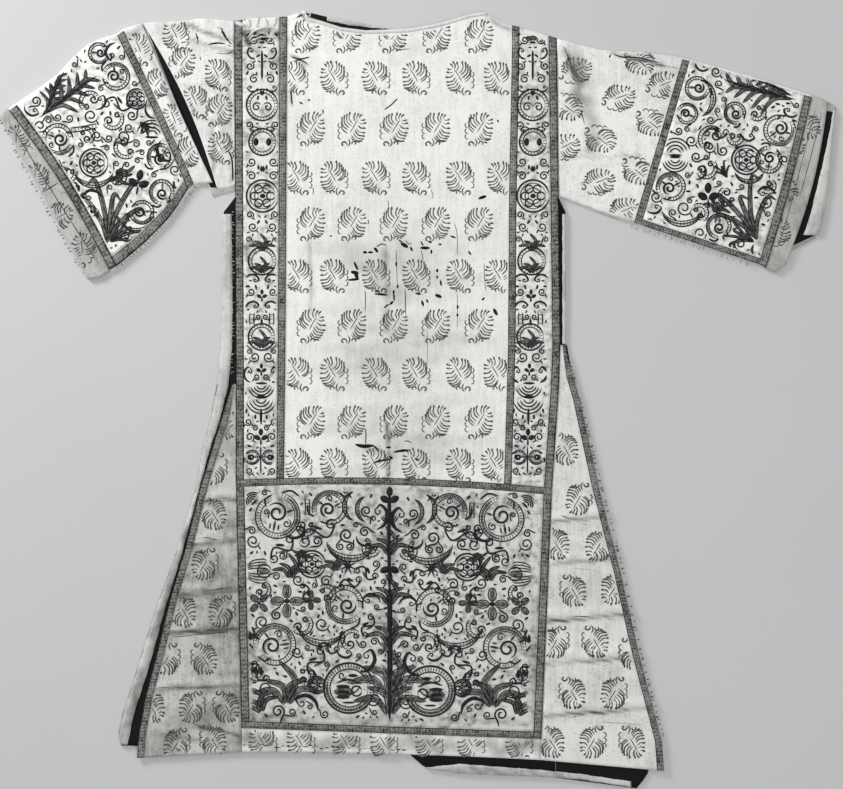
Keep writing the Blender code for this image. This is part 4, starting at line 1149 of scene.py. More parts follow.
# The silk is brocaded with small leaf plumes in rows, turned to alternate sides from row to row.
# Each has eight round-ended fingers on either side of a slanting stem, and scallops and hooks at
# its foot, in flat grey silk.
PLUME_ROWS = (
    (77, (293, 333, 375, 415, 459, 497)), (128, (312, 353, 395, 437, 480)),
    (177, (297, 333, 375, 415, 459, 500)), (223, (312, 353, 395, 437, 480)),
    (275, (297, 333, 375, 415, 459, 498)), (325, (312, 353, 395, 437, 480)),
    (373, (297, 333, 375, 415, 459, 496)), (421, (312, 353, 395, 437, 480)),
    (464, (297, 333, 375, 415, 459, 494)), (35, (307, 348, 394, 438, 480)),
    (742, (262, 300, 345, 383, 428, 470, 518)),
)


def plume(seed, size=1.0):
    """Strokes of one plume: fingers with round ends that fan from a slanting stem to a squarish rim."""
    chance = random.Random(seed)
    stem = sweep([(-8, -11), (-3, -4), (2, 3), (6, 10)], 1.0, 1.0)[0]
    made = [sweep([(-5, -8), (-1, -2), (3, 5)], 1.6, 2.2)]
    for index in range(8):
        share = index / 7
        foot = stem[int((0.16 + 0.74 * share) * (len(stem) - 1))]
        for side, angle in ((1, -126 + 106 * share), (-1, 206 - 92 * share)):
            across, up = math.cos(math.radians(angle)), math.sin(math.radians(angle))
            rim = np.array([math.copysign(12.5 * abs(across) ** 0.75, across),
                            math.copysign(15.5 * abs(up) ** 0.75, up)])
            rim = rim * chance.uniform(0.92, 1.03)
            start = foot + (rim - foot) * chance.uniform(0.1, 0.22)
            middle = (start + rim) / 2 + np.array([start[1] - rim[1], rim[0] - start[0]]) * side * 0.2
            made.append(sweep([start, middle, rim], chance.uniform(1.7, 2.3), 2.0))
            ahead = rim - middle
            turn = math.degrees(math.atan2(ahead[1], ahead[0]))
            made.append(knot(*(rim - ahead * 0.12), 3.6, 2.7, turn))
    made += [hoop(12.4, 8.5 - 5.6 * k, 2.6, 1.9, -70, 110) for k in range(3)]
    made += [curl(9.4, 16.4, 3.7, 2.5, 0.9, 150, 1), curl(-1.5, 15.5, 3.0, 2.3, 0.85, 30, -1)]
    made += [sweep([(5, 10), (3, 15), (5.6, 19.0)], 2.2, 2.0)]
    return [(line * size, width) for line, width in made]


figure_silk = cord_material("figure_silk", (0.34, 0.337, 0.325), (0.06, 0.059, 0.056), 0.7)
strokes = []
for row, (y, places) in enumerate(PLUME_ROWS):
    flip = -1 if row % 2 else 1
    for column, x in enumerate(places):
        strokes += turned(plume(row * 10 + column), x, y, 0, flip)
level = np.linspace(TOP_LEVEL + 4, 479.5, 60)
row = front_row(level)
panel = [*zip(row[2] + 0.6, front_y(row[2], level)),
         *zip(row[3][::-1] - 0.6, front_y(row[3], level)[::-1])]
panel += [(at, np.interp(at, TOP_X, TOP_FRONT) + 4.2) for at in np.linspace(510, 289, 50)]
strip = [(242, 729), (390, 736), (540, 739.5), (540, 758), (390, 756), (242, 751)]
strokes = kept_on(strokes, panel) + kept_on(strokes, strip)
couch("front_figure", strokes, front_height, 0.0, 0.00035, figure_silk)


# A gore of the same silk is let into each side below the underarm, so the tunic widens to its hem.
# The left one is painted darker all over, as shade. Pulled creases run across both from the seam,
# and a galloon edges each one.
GORE_LEFT = (
    (384, 232.5), (440, 215), (490, 200), (550, 185), (600, 170), (655, 157), (700, 145),
    (738, 138.5), (758, 137),
)
GORE_RIGHT = (
    (345, 564), (400, 580), (488, 599), (574, 621), (652, 638.5), (742, 662), (771, 664),
)
EDGE_GALLOON = 7.0

# The left gore's darker tones are painted shade on the same silk as the right.
gore_silk_left_shaded = silk("gore_silk_left_shaded", (0.60, 0.595, 0.58), (0.19, 0.187, 0.18), 1.5)
gore_silk_right = silk("gore_silk_right", (0.82, 0.815, 0.80), (0.38, 0.375, 0.36), 0.8)
edge_braid = galloon_weave("edge_braid", BRAID_PALE, BRAID_DARK, 0.0105, 0.0050, True)
for side, edge, hem_y, gore_silk in (
    ("left", GORE_LEFT, 758.0, gore_silk_left_shaded), ("right", GORE_RIGHT, 771.0, gore_silk_right),
):
    sign = -1 if side == "left" else 1
    top = edge[0][0]
    level = np.linspace(top, 752, 150)[:, None]
    row = front_row(level)
    seam_x = row[1] if side == "left" else row[4]
    down = level + (0 if side == "left" else row[5])
    down = down + (top - down[0])
    last = float(down[-1, 0])
    drop = (hem_y - last) * (down - top) / (last - top)
    start = seam_x + sign * 0.1
    outer = np.interp(down + drop, *zip(*edge))
    width = np.abs(outer - start)
    plain = width - np.minimum(EDGE_GALLOON, width / 2)
    for name, node, slot, near, far, columns, lift, wall, material in (
        ("gore_panel_" + side, "front_gore_" + side, "gore_damask", 0 * width, width, 32,
         -FRONT_WALL, FRONT_WALL, gore_silk),
        ("gore_braid_" + side, "galloon_gore_" + side, "galloon", plain + 0.1, width - 0.1, 4,
         TRIM_LIFT, TRIM_WALL, edge_braid),
    ):
        stop = near + (far - near) * np.linspace(0, 1, columns + 1)
        x, y = start + sign * stop, down + drop * stop / width
        if side == "left":
            x, y = x[:, ::-1], y[:, ::-1]
        piece = lay_on_front(name, x, y, lift, wall, material, cloth_height)
        soil(piece)
        sew(piece, node, slot, ["gore_lining_" + side], *measure(np.stack([x, y], -1)))


# Each sleeve is one piece folded along its top, open below, and sewn to the front at the shoulder.
# The left one is pieced: a shoulder piece, the sleeve and a cuff, and the front half of the seam
# between the first two has come open. Apparels lie on the upper halves between galloons.
SHOULDER_LEFT = (
    (234.2, 20.8, 235, 185, 235, 190.5, 0), (218, 19.6, 231.5, 186.8, 231, 191, 0.4),
    (200, 18.2, 228, 188, 227, 192, 1.2), (180, 21, 224.5, 189, 222.5, 193.2, 3),
    (160, 21.5, 220.8, 189.4, 217.5, 194.6, 5), (142.3, 22.6, 217.3, 189, 212.5, 196.5, 7.2),
)
SLEEVE_LEFT = (
    (141.7, 22.8, 212.5, 182.5, 206.8, 184.5, -1), (132.5, 25.5, 203.5, 183.5, 202, 185, 0),
    (122.5, 29, 194, 184.5, 194.5, 187, 1), (116.5, 33.5, 188, 189.5, 188.5, 191.5, 1.5),
    (101, 37.6, 178, 206, 179, 208, 2), (86, 45, 168, 219.5, 169, 221.5, 2.8),
    (72, 58, 156, 232, 157, 234, 3.5), (56, 75.3, 144, 244, 145, 246, 4.2),
    (36, 89.6, 131, 255, 132, 257, 4.8), (15.5, 103.2, 117, 266.5, 117.5, 268, 5.3),
    (8, 108.6, 110, 270.3, 110.3, 271.5, 5.3),
)
CUFF_LEFT = (
    (7.7, 108.9, 109.6, 270.6, 109.9, 271.8, 5.3), (3.6, 112.4, 101, 277.4, 101, 277, 3.4),
    (0.4, 117, 88, 279.6, 88, 279, 0.6),
)
SLEEVE_RIGHT = (
    (556.95, 38.4, 558.75, 196, 558.75, 196, 0), (577, 43.5, 571, 200.5, 571, 202, 0),
    (598, 49, 584, 205.5, 584, 207, 0), (618, 51, 597, 210.5, 597, 212, 0),
    (640, 51.5, 609, 215, 609, 216.5, 0), (662, 54, 622, 219, 622, 220.5, 0),
    (683, 57.3, 634, 223, 634, 224.5, 0), (690, 59, 641, 225.5, 641, 227, 0),
    (709, 64.5, 660.5, 232, 660.5, 233, 0.5), (729, 70, 680, 238.5, 680, 239.5, 1),
    (748, 75, 700, 245, 700, 245.5, 1.5), (768, 81, 719, 251.5, 719, 251, 2),
    (787, 87, 739, 258, 739, 256, 2), (805, 93, 758.5, 264.5, 758.5, 260, 2),
    (812, 95, 765.5, 268.5, 766, 262, 2),
)
CUFF_RIGHT = (
    (812.3, 95.2, 765.8, 268.8, 766.3, 262, 2), (820, 98, 775.5, 272.5, 790, 252, 4),
    (828, 101.5, 786, 264, 815.5, 238, 6),
)
CUFF_BACK_SHIFT = ((0, 0), (2.5, 1), (8.5, 5))
FOLD_RADIUS = FRONT_TOP / 2


def station_at(table, at):
    """A sleeve's station between those of its table."""
    table = np.array(table, dtype=float)
    return [np.interp(at, range(len(table)), column) for column in table.T]


def sleeve_spot(table, at, share):
    """Plan place on a sleeve's upper half: at stations, share of the way down from the fold."""
    top_x, top_y, low_x, low_y, _, _, bow = station_at(table, at)
    run_x, run_y = low_x - top_x, low_y - top_y
    length = np.hypot(run_x, run_y)
    side = bow * np.sin(np.pi * share)
    return top_x + run_x * share + side * run_y / length, top_y + run_y * share - side * run_x / length


def sleeve_height(table, at, share):
    """Height there, eased to the fold's."""
    x, y = sleeve_spot(table, at, share)
    top_x, top_y, low_x, low_y, _, _, _ = station_at(table, at)
    rise = ease(np.hypot(low_x - top_x, low_y - top_y) * share / 20)
    return FRONT_TOP + (cloth_height(x, y) - FRONT_TOP) * rise


def fold_sleeve(name, table, material, rows, shifts=None):
    """Folded sleeve piece: back half, round fold and front half, as one closed sheet."""
    last = len(table) - 1
    at = np.linspace(0, last, rows)[:, None]
    top_x, top_y, low_x, low_y, back_x, back_y, _ = station_at(table, at)
    shift = np.array(shifts if shifts else [(0, 0)] * (last + 1), dtype=float)
    start_x = top_x + np.interp(at, range(last + 1), shift[:, 0])
    start_y = top_y + np.interp(at, range(last + 1), shift[:, 1])
    back = np.linspace(1, 0.06, 14)
    outer = [np.stack([start_x + (back_x - start_x) * back, start_y + (back_y - start_y) * back,
                       np.zeros((rows, 14))], -1)]
    inner = [outer[0] + (0, 0, FRONT_WALL)]
    front_long = np.hypot(low_x - top_x, low_y - top_y)
    back_long = np.hypot(back_x - start_x, back_y - start_y)
    front_way = np.stack([(low_x - top_x) / front_long, (low_y - top_y) / front_long], -1)
    back_way = np.stack([(back_x - start_x) / back_long, (back_y - start_y) / back_long], -1)
    angle = np.radians(np.linspace(-90, 90, 9))
    blend = ((np.sin(angle) + 1) / 2)[None, :, None]
    start = np.stack([start_x, start_y], -1) * (1 - blend) + np.stack([top_x, top_y], -1) * blend
    way = back_way * (1 - blend) + front_way * blend
    for ring, hollow in ((outer, 0), (inner, 1)):
        thin = FOLD_RADIUS - hollow * FRONT_WALL
        reach = (FOLD_RADIUS - thin * np.cos(angle)) / PLAN_STEP
        spot = start + way * reach[None, :, None]
        z = FOLD_RADIUS + thin * np.sin(angle) + np.zeros((rows, 1))
        ring.append(np.concatenate([spot, z[..., None]], -1))
    share = np.linspace(0.035, 1, 58)
    x, y = sleeve_spot(table, at, share)
    z = sleeve_height(table, at, share)
    outer.append(np.stack([x, y, z], -1))
    inner.append(np.stack([x, y, z - FRONT_WALL], -1))
    outer, inner = np.concatenate(outer, 1), np.concatenate(inner, 1)
    piece = lay_cloth(name, outer, inner, material)
    return piece, outer


shoulder_silk = silk("shoulder_silk", (0.88, 0.875, 0.86), (0.40, 0.395, 0.38), 0.9, 0.25)
sleeve_silk = silk("sleeve_silk", (0.92, 0.915, 0.90), (0.46, 0.455, 0.44), 0.8, -0.3)
cuff_silk = silk("cuff_silk", (0.52, 0.515, 0.50), (0.22, 0.217, 0.21), 1.3, 0.5)
for name, node, slot, table, material, rows, shifts in (
    ("shoulder_piece", "shoulder_left", "damask", SHOULDER_LEFT, shoulder_silk, 30, None),
    ("sleeve_panel_left", "sleeve_left", "damask", SLEEVE_LEFT, shoulder_silk, 50, None),
    ("cuff_piece_left", "cuff_left", "cuff_damask", CUFF_LEFT, cuff_silk, 9, None),
    ("sleeve_panel_right", "sleeve_right", "damask", SLEEVE_RIGHT, sleeve_silk, 72, None),
    ("cuff_piece_right", "cuff_right", "cuff_damask", CUFF_RIGHT, cuff_silk, 9, CUFF_BACK_SHIFT),
):
    piece, grid = fold_sleeve(name, table, material, rows, shifts)
    soil(piece)
    sew(piece, node, slot, ["floor"], *measure(grid))

underarm_braids = {}
for side, wide in (("left", 0.0142), ("right", 0.0088)):
    weave = galloon_weave("underarm_braid_" + side, BRAID_PALE, BRAID_DARK, wide, 0.0046, False)
    underarm_braids[side] = weave
sleeve_satin = satin("sleeve_satin", (0.92, 0.915, 0.90), (0.17, 0.168, 0.16))
for side, table, stops, underarm in (
    ("left", SLEEVE_LEFT, (2, 3, 9, 10), 0.945), ("right", SLEEVE_RIGHT, (6, 7, 13, 14), 0.965),
):
    near, near_end, far, far_end = stops
    for name, node, slot, at_from, at_to, share_from, share_to, upright, material in (
        ("near_braid_" + side, "galloon_near_" + side, "galloon", near, near_end, 0.012, 0.998, True,
         check_braid),
        ("far_braid_" + side, "galloon_far_" + side, "galloon", far, far_end, 0.012, 0.998, True,
         check_braid),
        ("underarm_braid_" + side, "galloon_underarm_" + side, "galloon", near_end + 0.02, far - 0.02,
         underarm, 0.998, False, underarm_braids[side]),
        ("sleeve_apparel_" + side, "apparel_sleeve_" + side, "apparel_ground",
         near_end + 0.02, far - 0.02, 0.012, underarm - 0.001, True, sleeve_satin),
    ):
        wide = abs(at_to - at_from) * 20
        at = np.linspace(at_from, at_to, max(int(wide / 3.0), 3))[None, :]
        share = np.linspace(share_from, share_to, max(int((share_to - share_from) * 60), 4))[:, None]
        if side == "left":
            at = at[:, ::-1]
        x, y = sleeve_spot(table, at, share)
        z = sleeve_height(table, at, share)
        low = np.stack([x, y, z + TRIM_LIFT], -1)
        piece = lay_cloth(name, low + (0, 0, TRIM_WALL), low, material)
        sew(piece, node, slot, ["sleeve_panel_" + side], *measure(low))


# The sleeve apparels bear the same kind of work in couched cord over floss: a spray of leaves along
# the fold, rosettes, banded scrolls, a dark trefoil and a plant from the underarm corner.
def sleeve_top_distance(table, x, y):
    """Distance on the plan from a sleeve's fold line."""
    near = np.full(np.shape(x), 1e9)
    for (ax, ay, *_), (bx, by, *_) in zip(table, table[1:]):
        run = (bx - ax) ** 2 + (by - ay) ** 2
        t = np.clip(((x - ax) * (bx - ax) + (y - ay) * (by - ay)) / run, 0, 1)
        near = np.minimum(near, np.hypot(x - ax - t * (bx - ax), y - ay - t * (by - ay)))
    return near


def over_sleeve(table):
    """Height of a sleeve's upper half at any place on the plan."""
    def height(x, y):
        far = sleeve_top_distance(table, x, y)
        dip = FOLD_RADIUS * np.maximum(0, 1 - far / 1.6) ** 2
        return FRONT_TOP + (cloth_height(x, y) - FRONT_TOP) * ease(far / 20) - dip
    return height


def fern(size):
    """Long spray of narrow dark leaves that leave one stalk in turn."""
    floss = []
    for k in range(10):
        side = 1 if k % 2 else -1
        foot = np.array([0, -size * 0.07 * k])
        angle = math.radians(side * (34 - 2.2 * k))
        way = np.array([math.sin(angle), -math.cos(angle)]) * size * (0.5 - 0.012 * k)
        bow = np.array([-way[1], way[0]]) * 0.18 * side
        floss.append(sweep([foot, foot + way * 0.5 - bow, foot + way + bow * 0.5], size * 0.055))
    stalk = sweep([(0, size * 0.04), (0, -size * 0.5), (size * 0.03, -size)], 2.6)
    return [*outlined(floss, 1.3), stalk], floss


def spray(size):
    """Slender leaves that rise from one foot and hook over at their tips."""
    floss = []
    for lean, reach in ((-0.62, 0.62), (-0.3, 0.92), (0.04, 0.74), (0.34, 0.96), (0.75, 0.56)):
        tip = np.array([lean, -1]) * size * reach
        hang = tip + np.array([math.copysign(0.13, lean), 0.1]) * size
        floss.append(sweep([(0, 0), tip * (0.3, 0.5), tip, hang], size * 0.066))
    return outlined(floss, 1.4), floss


RIGHT_SLEEVE_MOTIFS = (
    (fern, 793, 99, 72, -76), (fern, 790, 95, 44, -62), (volute, 697, 88, 12.5),
    (volute, 687, 114, 11, 200), (crescent, 706, 98, 19, -90), (bell, 675, 150, 15),
    (bell, 675, 162, 13, 180), (volute, 735, 113, 11.5, 60), (volute, 779, 130, 16.5, -40),
    (volute, 769, 160, 14, 100, -1), (rosette, 746, 160, 14.5), (spiral, 691, 141, 6),
    (hook, 748, 136, 8, 20), (tendril, 716, 133, 12, 20), (hook, 700, 172, 9, -60),
    (trefoil, 708, 194, 12), (volute, 671, 187, 15, 150), (crescent, 682, 216, 21),
    (spiral, 684, 208, 8), (spray, 757, 240, 62, -24), (spray, 754, 242, 32, -62),
    (volute, 719, 226, 13, 90), (crescent, 749, 176, 15), (scroll, 711, 139, 13, 200),
    (scroll, 706, 168, 11, 30), (scroll, 728, 196, 10, 120), (scroll, 699, 213, 9.5, 300),
    (scroll, 757, 112, 9, 10), (spray, 727, 178, 17, -30), (scroll, 768, 186, 8, 250, -1),
    (scroll, 735, 137, 8.5, 60), (hook, 766, 193, 10, 190), (spiral, 766, 202, 7, 0, -1),
    (hook, 654, 208, 9), (spiral, 656, 197, 6), (spiral, 709, 147, 6.6), (spiral, 700, 233, 6.6),
    (hook, 652, 221, 7, 0, -1), (spiral, 740, 244, 6.4, 90), (hook, 728, 246, 8),
    (hook, 758, 252, 9, 60), (spiral, 784, 160, 6), (hook, 702, 66, 8, 30), (spiral, 716, 72, 5.6),
    (leaves, 715, 214, 20, 20), (hook, 790, 112, 8, 20, -1),
)
LEFT_SLEEVE_MOTIFS = (
    (fern, 42, 116, 68, 52), (fern, 46, 112, 44, 22), (volute, 99, 53, 11),
    (volute, 116, 77, 14.5, 200), (hook, 112, 52, 10, 110), (rosette, 137, 99, 10),
    (tendril, 118, 104, 15, 24), (hook, 100, 102, 9, -60), (volute, 58, 139, 16.5, 20),
    (spiral, 40, 126, 7), (spiral, 91, 116, 7.5), (strap, 84, 128, 14, 80),
    (spiral, 123, 137, 8, 0, -1), (bell, 152, 132, 15), (volute, 161, 157, 14, 120),
    (hook, 165, 152, 12, 70), (rosette, 94, 163, 14), (crescent, 94, 178, 20),
    (trefoil, 139, 181, 12, 10), (volute, 162, 192, 13, 90), (volute, 142, 212, 12.5, 0, -1),
    (crescent, 139, 224, 17, -10), (spray, 107, 243, 66, 6), (spray, 110, 242, 34, 52),
    (scroll, 90, 102, 11, 200), (scroll, 113, 119, 11, 30), (scroll, 86, 136, 9, 300),
    (scroll, 126, 147, 12, 120), (scroll, 68, 173, 9.5, 60), (scroll, 118, 176, 9, 250, -1),
    (spray, 140, 122, 16, 130), (scroll, 84, 212, 8, 10), (hook, 92, 197, 11, 190),
    (spiral, 92, 210, 7), (leaves, 58, 158, 22, 200), (spiral, 97, 136, 6),
    (tendril, 76, 190, 12, 60), (hook, 152, 112, 9, 50), (spiral, 155, 216, 6.6),
    (spiral, 126, 236, 6.4), (spiral, 129, 128, 5), (hook, 32, 110, 9, 30), (spiral, 175, 170, 6),
    (hook, 180, 186, 8, 40), (leaves, 118, 168, 22, 150),
)


def sleeve_outline(table, at_from, at_to, share_from=0.004, share_to=0.985):
    """Outline of a part of a sleeve's upper half."""
    at, share = np.linspace(at_from, at_to, 24), np.linspace(share_from, share_to, 24)
    made = [*zip(*sleeve_spot(table, at, share_from + 0 * at)), *zip(*sleeve_spot(table, at_to, share))]
    return made + [*zip(*sleeve_spot(table, at[::-1], share_to + 0 * at)),
                   *zip(*sleeve_spot(table, at_from, share[::-1]))]


for side, table, motifs, outline in (
    ("left", SLEEVE_LEFT, LEFT_SLEEVE_MOTIFS, sleeve_outline(SLEEVE_LEFT, 3.04, 8.95, 0.012, 0.94)),
    ("right", SLEEVE_RIGHT, RIGHT_SLEEVE_MOTIFS,
     sleeve_outline(SLEEVE_RIGHT, 7.04, 12.95, 0.012, 0.96)),
):
    cords, floss = [kept_on(strokes, outline) for strokes in worked(motifs)]
    cords += fill_gaps(cords, outline, 11 if side == "left" else 14)
    for name, strokes, rise, material in (
        ("sleeve_floss_", floss, FLOSS_RISE, grey_floss),
        ("sleeve_cords_", cords, CORD_RISE, dark_cord),
    ):
        couch(name + side, strokes, over_sleeve(table), TRIM_TOP, rise, material)


# Plumes are brocaded on the gores, hem upwards, and on the shoulders, sleeves and cuffs as well.
# They lie as the cloth was cut, so they are turned with each sleeve.
GORE_PLUMES = (
    (225, 425, 1), (213, 470, -1), (214, 515, 1), (204, 565, -1), (184, 612, 1), (221, 612, -1),
    (166, 660, -1), (205, 660, 1), (152, 708, 1), (191, 708, -1), (227, 708, 1), (176, 745, -1),
    (214, 742, 1), (566, 450, 1), (578, 500, -1), (557, 545, 1), (598, 547, -1), (574, 592, 1),
    (613, 590, -1), (555, 643, -1), (596, 643, 1), (573, 694, 1), (613, 694, -1), (552, 743, 1),
    (592, 743, -1), (633, 743, 1), (633, 655, 1),
)
SHOULDER_PLUMES = (
    (175, 34, 4, 1), (183, 62, 4, -1), (217, 74, 2, 1), (195, 101, 6, 1), (220, 110, 2, -1),
    (220, 147, 4, 1),
)
STRIP_PLUMES = (
    (139, 48, 8, 1), (158, 83, 8, -1), (174, 119, 10, 1), (188, 152, 10, -1),
)
CUFF_PLUMES = (
    (35, 178, 30, 1), (59, 217, 30, -1), (82, 248, 26, 1), (16, 140, 30, 1),
)
RIGHT_PLUMES = (
    (577, 70, 96, 1), (568, 108, 96, -1), (620, 97, 100, 1), (565, 146, 94, 1), (601, 140, 96, -1),
    (600, 181, 98, 1), (652, 124, 98, -1), (664, 84, 100, 1), (638, 172, 100, -1), (625, 210, 98, 1),
    (640, 62, 100, -1), (790, 145, 78, 1), (783, 190, 78, -1), (776, 232, 78, 1), (806, 128, 78, -1),
)


def gore_outline(side, edge, hem):
    """Outline of a gore inside its galloon."""
    sign = -1 if side == "left" else 1
    down = np.linspace(edge[0][0] + 14, hem - 3, 40)
    seam = front_row(down)[1 if side == "left" else 4] + sign * 1.5
    rim = np.interp(down, *zip(*edge)) - sign * (EDGE_GALLOON + 1)
    return [*zip(seam, down), *zip(rim[::-1], down[::-1])]


grey_figure = cord_material("grey_figure", (0.24, 0.237, 0.228), (0.045, 0.044, 0.042), 0.7)
strokes = []
for index, (x, y, flip) in enumerate(GORE_PLUMES):
    strokes += turned(plume(200 + index, 0.95), x, y, 180, flip)
strokes = (kept_on(strokes, gore_outline("left", GORE_LEFT, 757))
           + kept_on(strokes, gore_outline("right", GORE_RIGHT, 764)))
couch("gore_figure", strokes, cloth_height, 0.0, 0.0004, grey_figure)
for name, places, height, outline in (
    ("shoulder_figure", SHOULDER_PLUMES, over_sleeve(SHOULDER_LEFT),
     sleeve_outline(SHOULDER_LEFT, 0.1, 4.9)),
    ("strip_figure", STRIP_PLUMES, over_sleeve(SLEEVE_LEFT), sleeve_outline(SLEEVE_LEFT, 0.1, 1.95)),
    ("cuff_figure", CUFF_PLUMES, over_sleeve(CUFF_LEFT), sleeve_outline(CUFF_LEFT, 0.05, 1.95)),
    ("sleeve_figure", RIGHT_PLUMES, over_sleeve(SLEEVE_RIGHT), sleeve_outline(SLEEVE_RIGHT, 0.1, 5.95)),
    ("cuff_figure_right", RIGHT_PLUMES, over_sleeve(CUFF_RIGHT),
     sleeve_outline(CUFF_RIGHT, 0.05, 1.95)),
):
    strokes = []
    for index, (x, y, turn, flip) in enumerate(places):
        strokes += turned(plume(300 + index, 0.95), x, y, turn, flip)
    couch(name, kept_on(strokes, outline), height, 0.0, 0.0004,
          grey_figure if "cuff" in name else figure_silk)


# The left orphrey's shoulder end has crumpled into small puckers that stand up at the seam. They
# are soft ridges of the satin, laid on the band.
PUCKERS = (
    (240, 24, 11, 6, 20), (249, 23, 10, 7, 80), (257.5, 22, 11, 6, 100), (266, 22.5, 10, 7, 70),
    (275, 21.5, 10, 6, 100),
)
pucker_silk = silk("pucker_silk", (0.76, 0.755, 0.74), (0.40, 0.395, 0.38), 0.9)
strokes = [knot(*row) for row in PUCKERS]
strokes += [sweep([(247, 38), (256, 30), (268, 27), (279, 30)], 3.4),
            sweep([(250, 42), (262, 37), (276, 38)], 2.4)]
couch("orphrey_puckers", strokes, front_height, 0.0006, 0.0016, pucker_silk)


# Worn places: slits and holes in the silk show its dark lining, a line of stitch holes runs over the
# hem, seams pucker on the cuffs, and a short fringe of cut threads stands out along the edges. Dark
# lines of painted shade lie in the creases of the gores, the left shoulder and the right sleeve, and
# under the right sleeve's folded-over top.
TEARS = (
    ((376, 247), (382, 244), (387, 246), 1.8), ((384, 262), (386, 268), (385, 274), 1.4),
    ((405, 240), (409, 244), (412, 243), 1.6), ((355, 444.4), (363, 446.2), (374, 445.4), 6.2),
    ((372, 445), (376, 448), (379, 452), 3.2), ((393, 452.4), (401, 450.8), (410, 450), 4.6),
    ((372, 463.4), (381, 460.6), (392, 459), 3.8), ((404, 441.6), (408, 441), (412, 443.4), 1.8),
    ((365, 290), (365.5, 300), (365, 312), 1.6), ((365.6, 428), (366, 436), (365.6, 444), 1.9),
    ((365, 455), (365.6, 462), (365, 476), 0.9), ((405, 288), (405.4, 300), (405.6, 316), 1.6),
    ((396, 248), (396.6, 266), (397.4, 288), 1.3), ((421, 250), (422.4, 256), (423, 262), 1.5),
    ((427, 320), (427.4, 350), (427, 380), 0.9), ((454, 222), (457, 234), (457.4, 256), 1.3),
    ((457, 292), (457.4, 304), (457, 330), 1.1), ((484, 262), (484.4, 276), (486, 292), 1.3),
    ((388, 200), (388.4, 205), (389, 211), 1.3), ((292, 57), (300, 59), (310, 57), 2.4),
    ((293, 62), (300, 60), (308, 64), 2.0), ((291, 90), (291.4, 98), (292.4, 105), 2.4),
    ((384, 110), (391, 105), (398, 98), 2.2), ((302, 211), (303, 214), (302, 216), 2.4),
    ((322, 109), (323.4, 112), (322, 114), 2.2), ((313, 187), (313.4, 191), (313, 195), 1.6),
    ((431, 190), (433, 195), (432, 199), 1.2), ((368, 219), (368.4, 222), (368, 225), 1.6),
    ((296, 18), (302, 15), (310, 14), 3.0), ((396, 51), (403, 49.4), (410, 49), 1.4),
    ((298, 20), (295, 28), (297, 38), 2.0),
)
HOLES = (
    (482.4, 197.4, 9, 5, -20), (365, 252.4, 4.4, 4.4, 0), (370.6, 252.4, 5.4, 4, 0),
    (376, 250, 6.4, 4.6, 50), (404.4, 245.2, 9, 6.2, 30), (400.4, 241, 5, 2.4, 30),
    (411.4, 249, 5, 3.6, 60), (425, 248, 10, 5, 0), (422, 243.6, 6, 2.4, 60),
    (430, 242, 4.4, 3.4, 20), (431.4, 251.8, 4.4, 3.4, 90), (440, 244.4, 3.6, 3.2, 0),
    (453, 237, 6.4, 3, 20), (469.6, 253, 5.4, 3, 50), (437.2, 270.6, 3.8, 3.8, 90),
    (437.2, 277.2, 3.2, 3, 90), (440.8, 283, 6.4, 3.2, 80), (438.4, 296, 7.4, 5.4, 20),
    (418.2, 293.8, 6.4, 3.4, 10), (422.6, 303.4, 6.4, 4, 70), (427.2, 301, 4.4, 3.2, 60),
    (483.2, 299, 4.4, 3.2, -40), (457.6, 307, 4.4, 3.4, 90), (457.4, 315, 4, 3, 90),
    (495.4, 312, 8, 5.4, 60), (356, 266, 10, 3.8, 65), (354.8, 272.6, 8.4, 6, 10),
    (353.8, 279.6, 12, 4, -6), (356.4, 275.4, 9, 6, 70), (381, 294.4, 15, 3.6, 5),
    (376.6, 291.2, 4.6, 4, 0), (393.6, 292, 4.4, 3.4, 90), (394, 297, 9, 2.8, 85),
    (391.4, 303, 5.6, 4, -45), (386.6, 306, 6.4, 2.8, -40), (397.6, 286.4, 4, 3.2, 90),
    (396.2, 264, 5.4, 3.2, 90), (388.4, 447.4, 5.6, 3.4, 0), (391, 457.6, 4.6, 3.6, 30),
    (417, 459.6, 5.6, 3, 30), (301, 103, 4, 3, 30), (309, 100, 3.4, 2.6, 0), (343, 171, 3, 2.4, 60),
    (472, 118, 3, 2.6, 20), (489, 225, 3.4, 2.8, 0), (498, 121, 3.4, 2.6, 60), (331, 236, 3, 2.4, 0),
)
chance = random.Random(21)
strokes = [sweep(points, width, 1.2) for *points, width in TEARS] + [knot(*row) for row in HOLES]
for x in np.arange(242, 402, 5.5):
    y = np.interp(x, (240, 320, 400), (745.5, 747, 749)) + chance.uniform(-1.2, 1.2)
    strokes.append(sweep([(x, y), (x + 3, y + chance.uniform(-1, 1)), (x + 5.2, y)],
                         chance.uniform(0.9, 2.4), 1.4))
# This black fills the tears and holes, and also paints the crease shade in the shoulder and sleeve
# lines below.
tears_and_crease_shade = linen("tears_and_crease_shade")
couch("front_tears", strokes, front_height, 0.0, 0.00025, tears_and_crease_shade)

# Painted shade: dark lines in the left shoulder's crumples.
SHOULDER_CREASE_SHADES = (
    ((221, 28), (226, 38), (233, 46), 2.6), ((195, 32), (197.5, 38), (198, 45), 1.9),
    ((208, 45), (220, 43), (233, 47), 2.0), ((181, 43), (185, 42), (190, 43), 2.2),
    ((200, 56), (201, 61), 2.0), ((216, 53), (226, 54), (233, 52), 1.5), ((216, 27), (224, 29), 1.6),
    ((228, 150), (232, 160), (233, 182), 2.6),
)
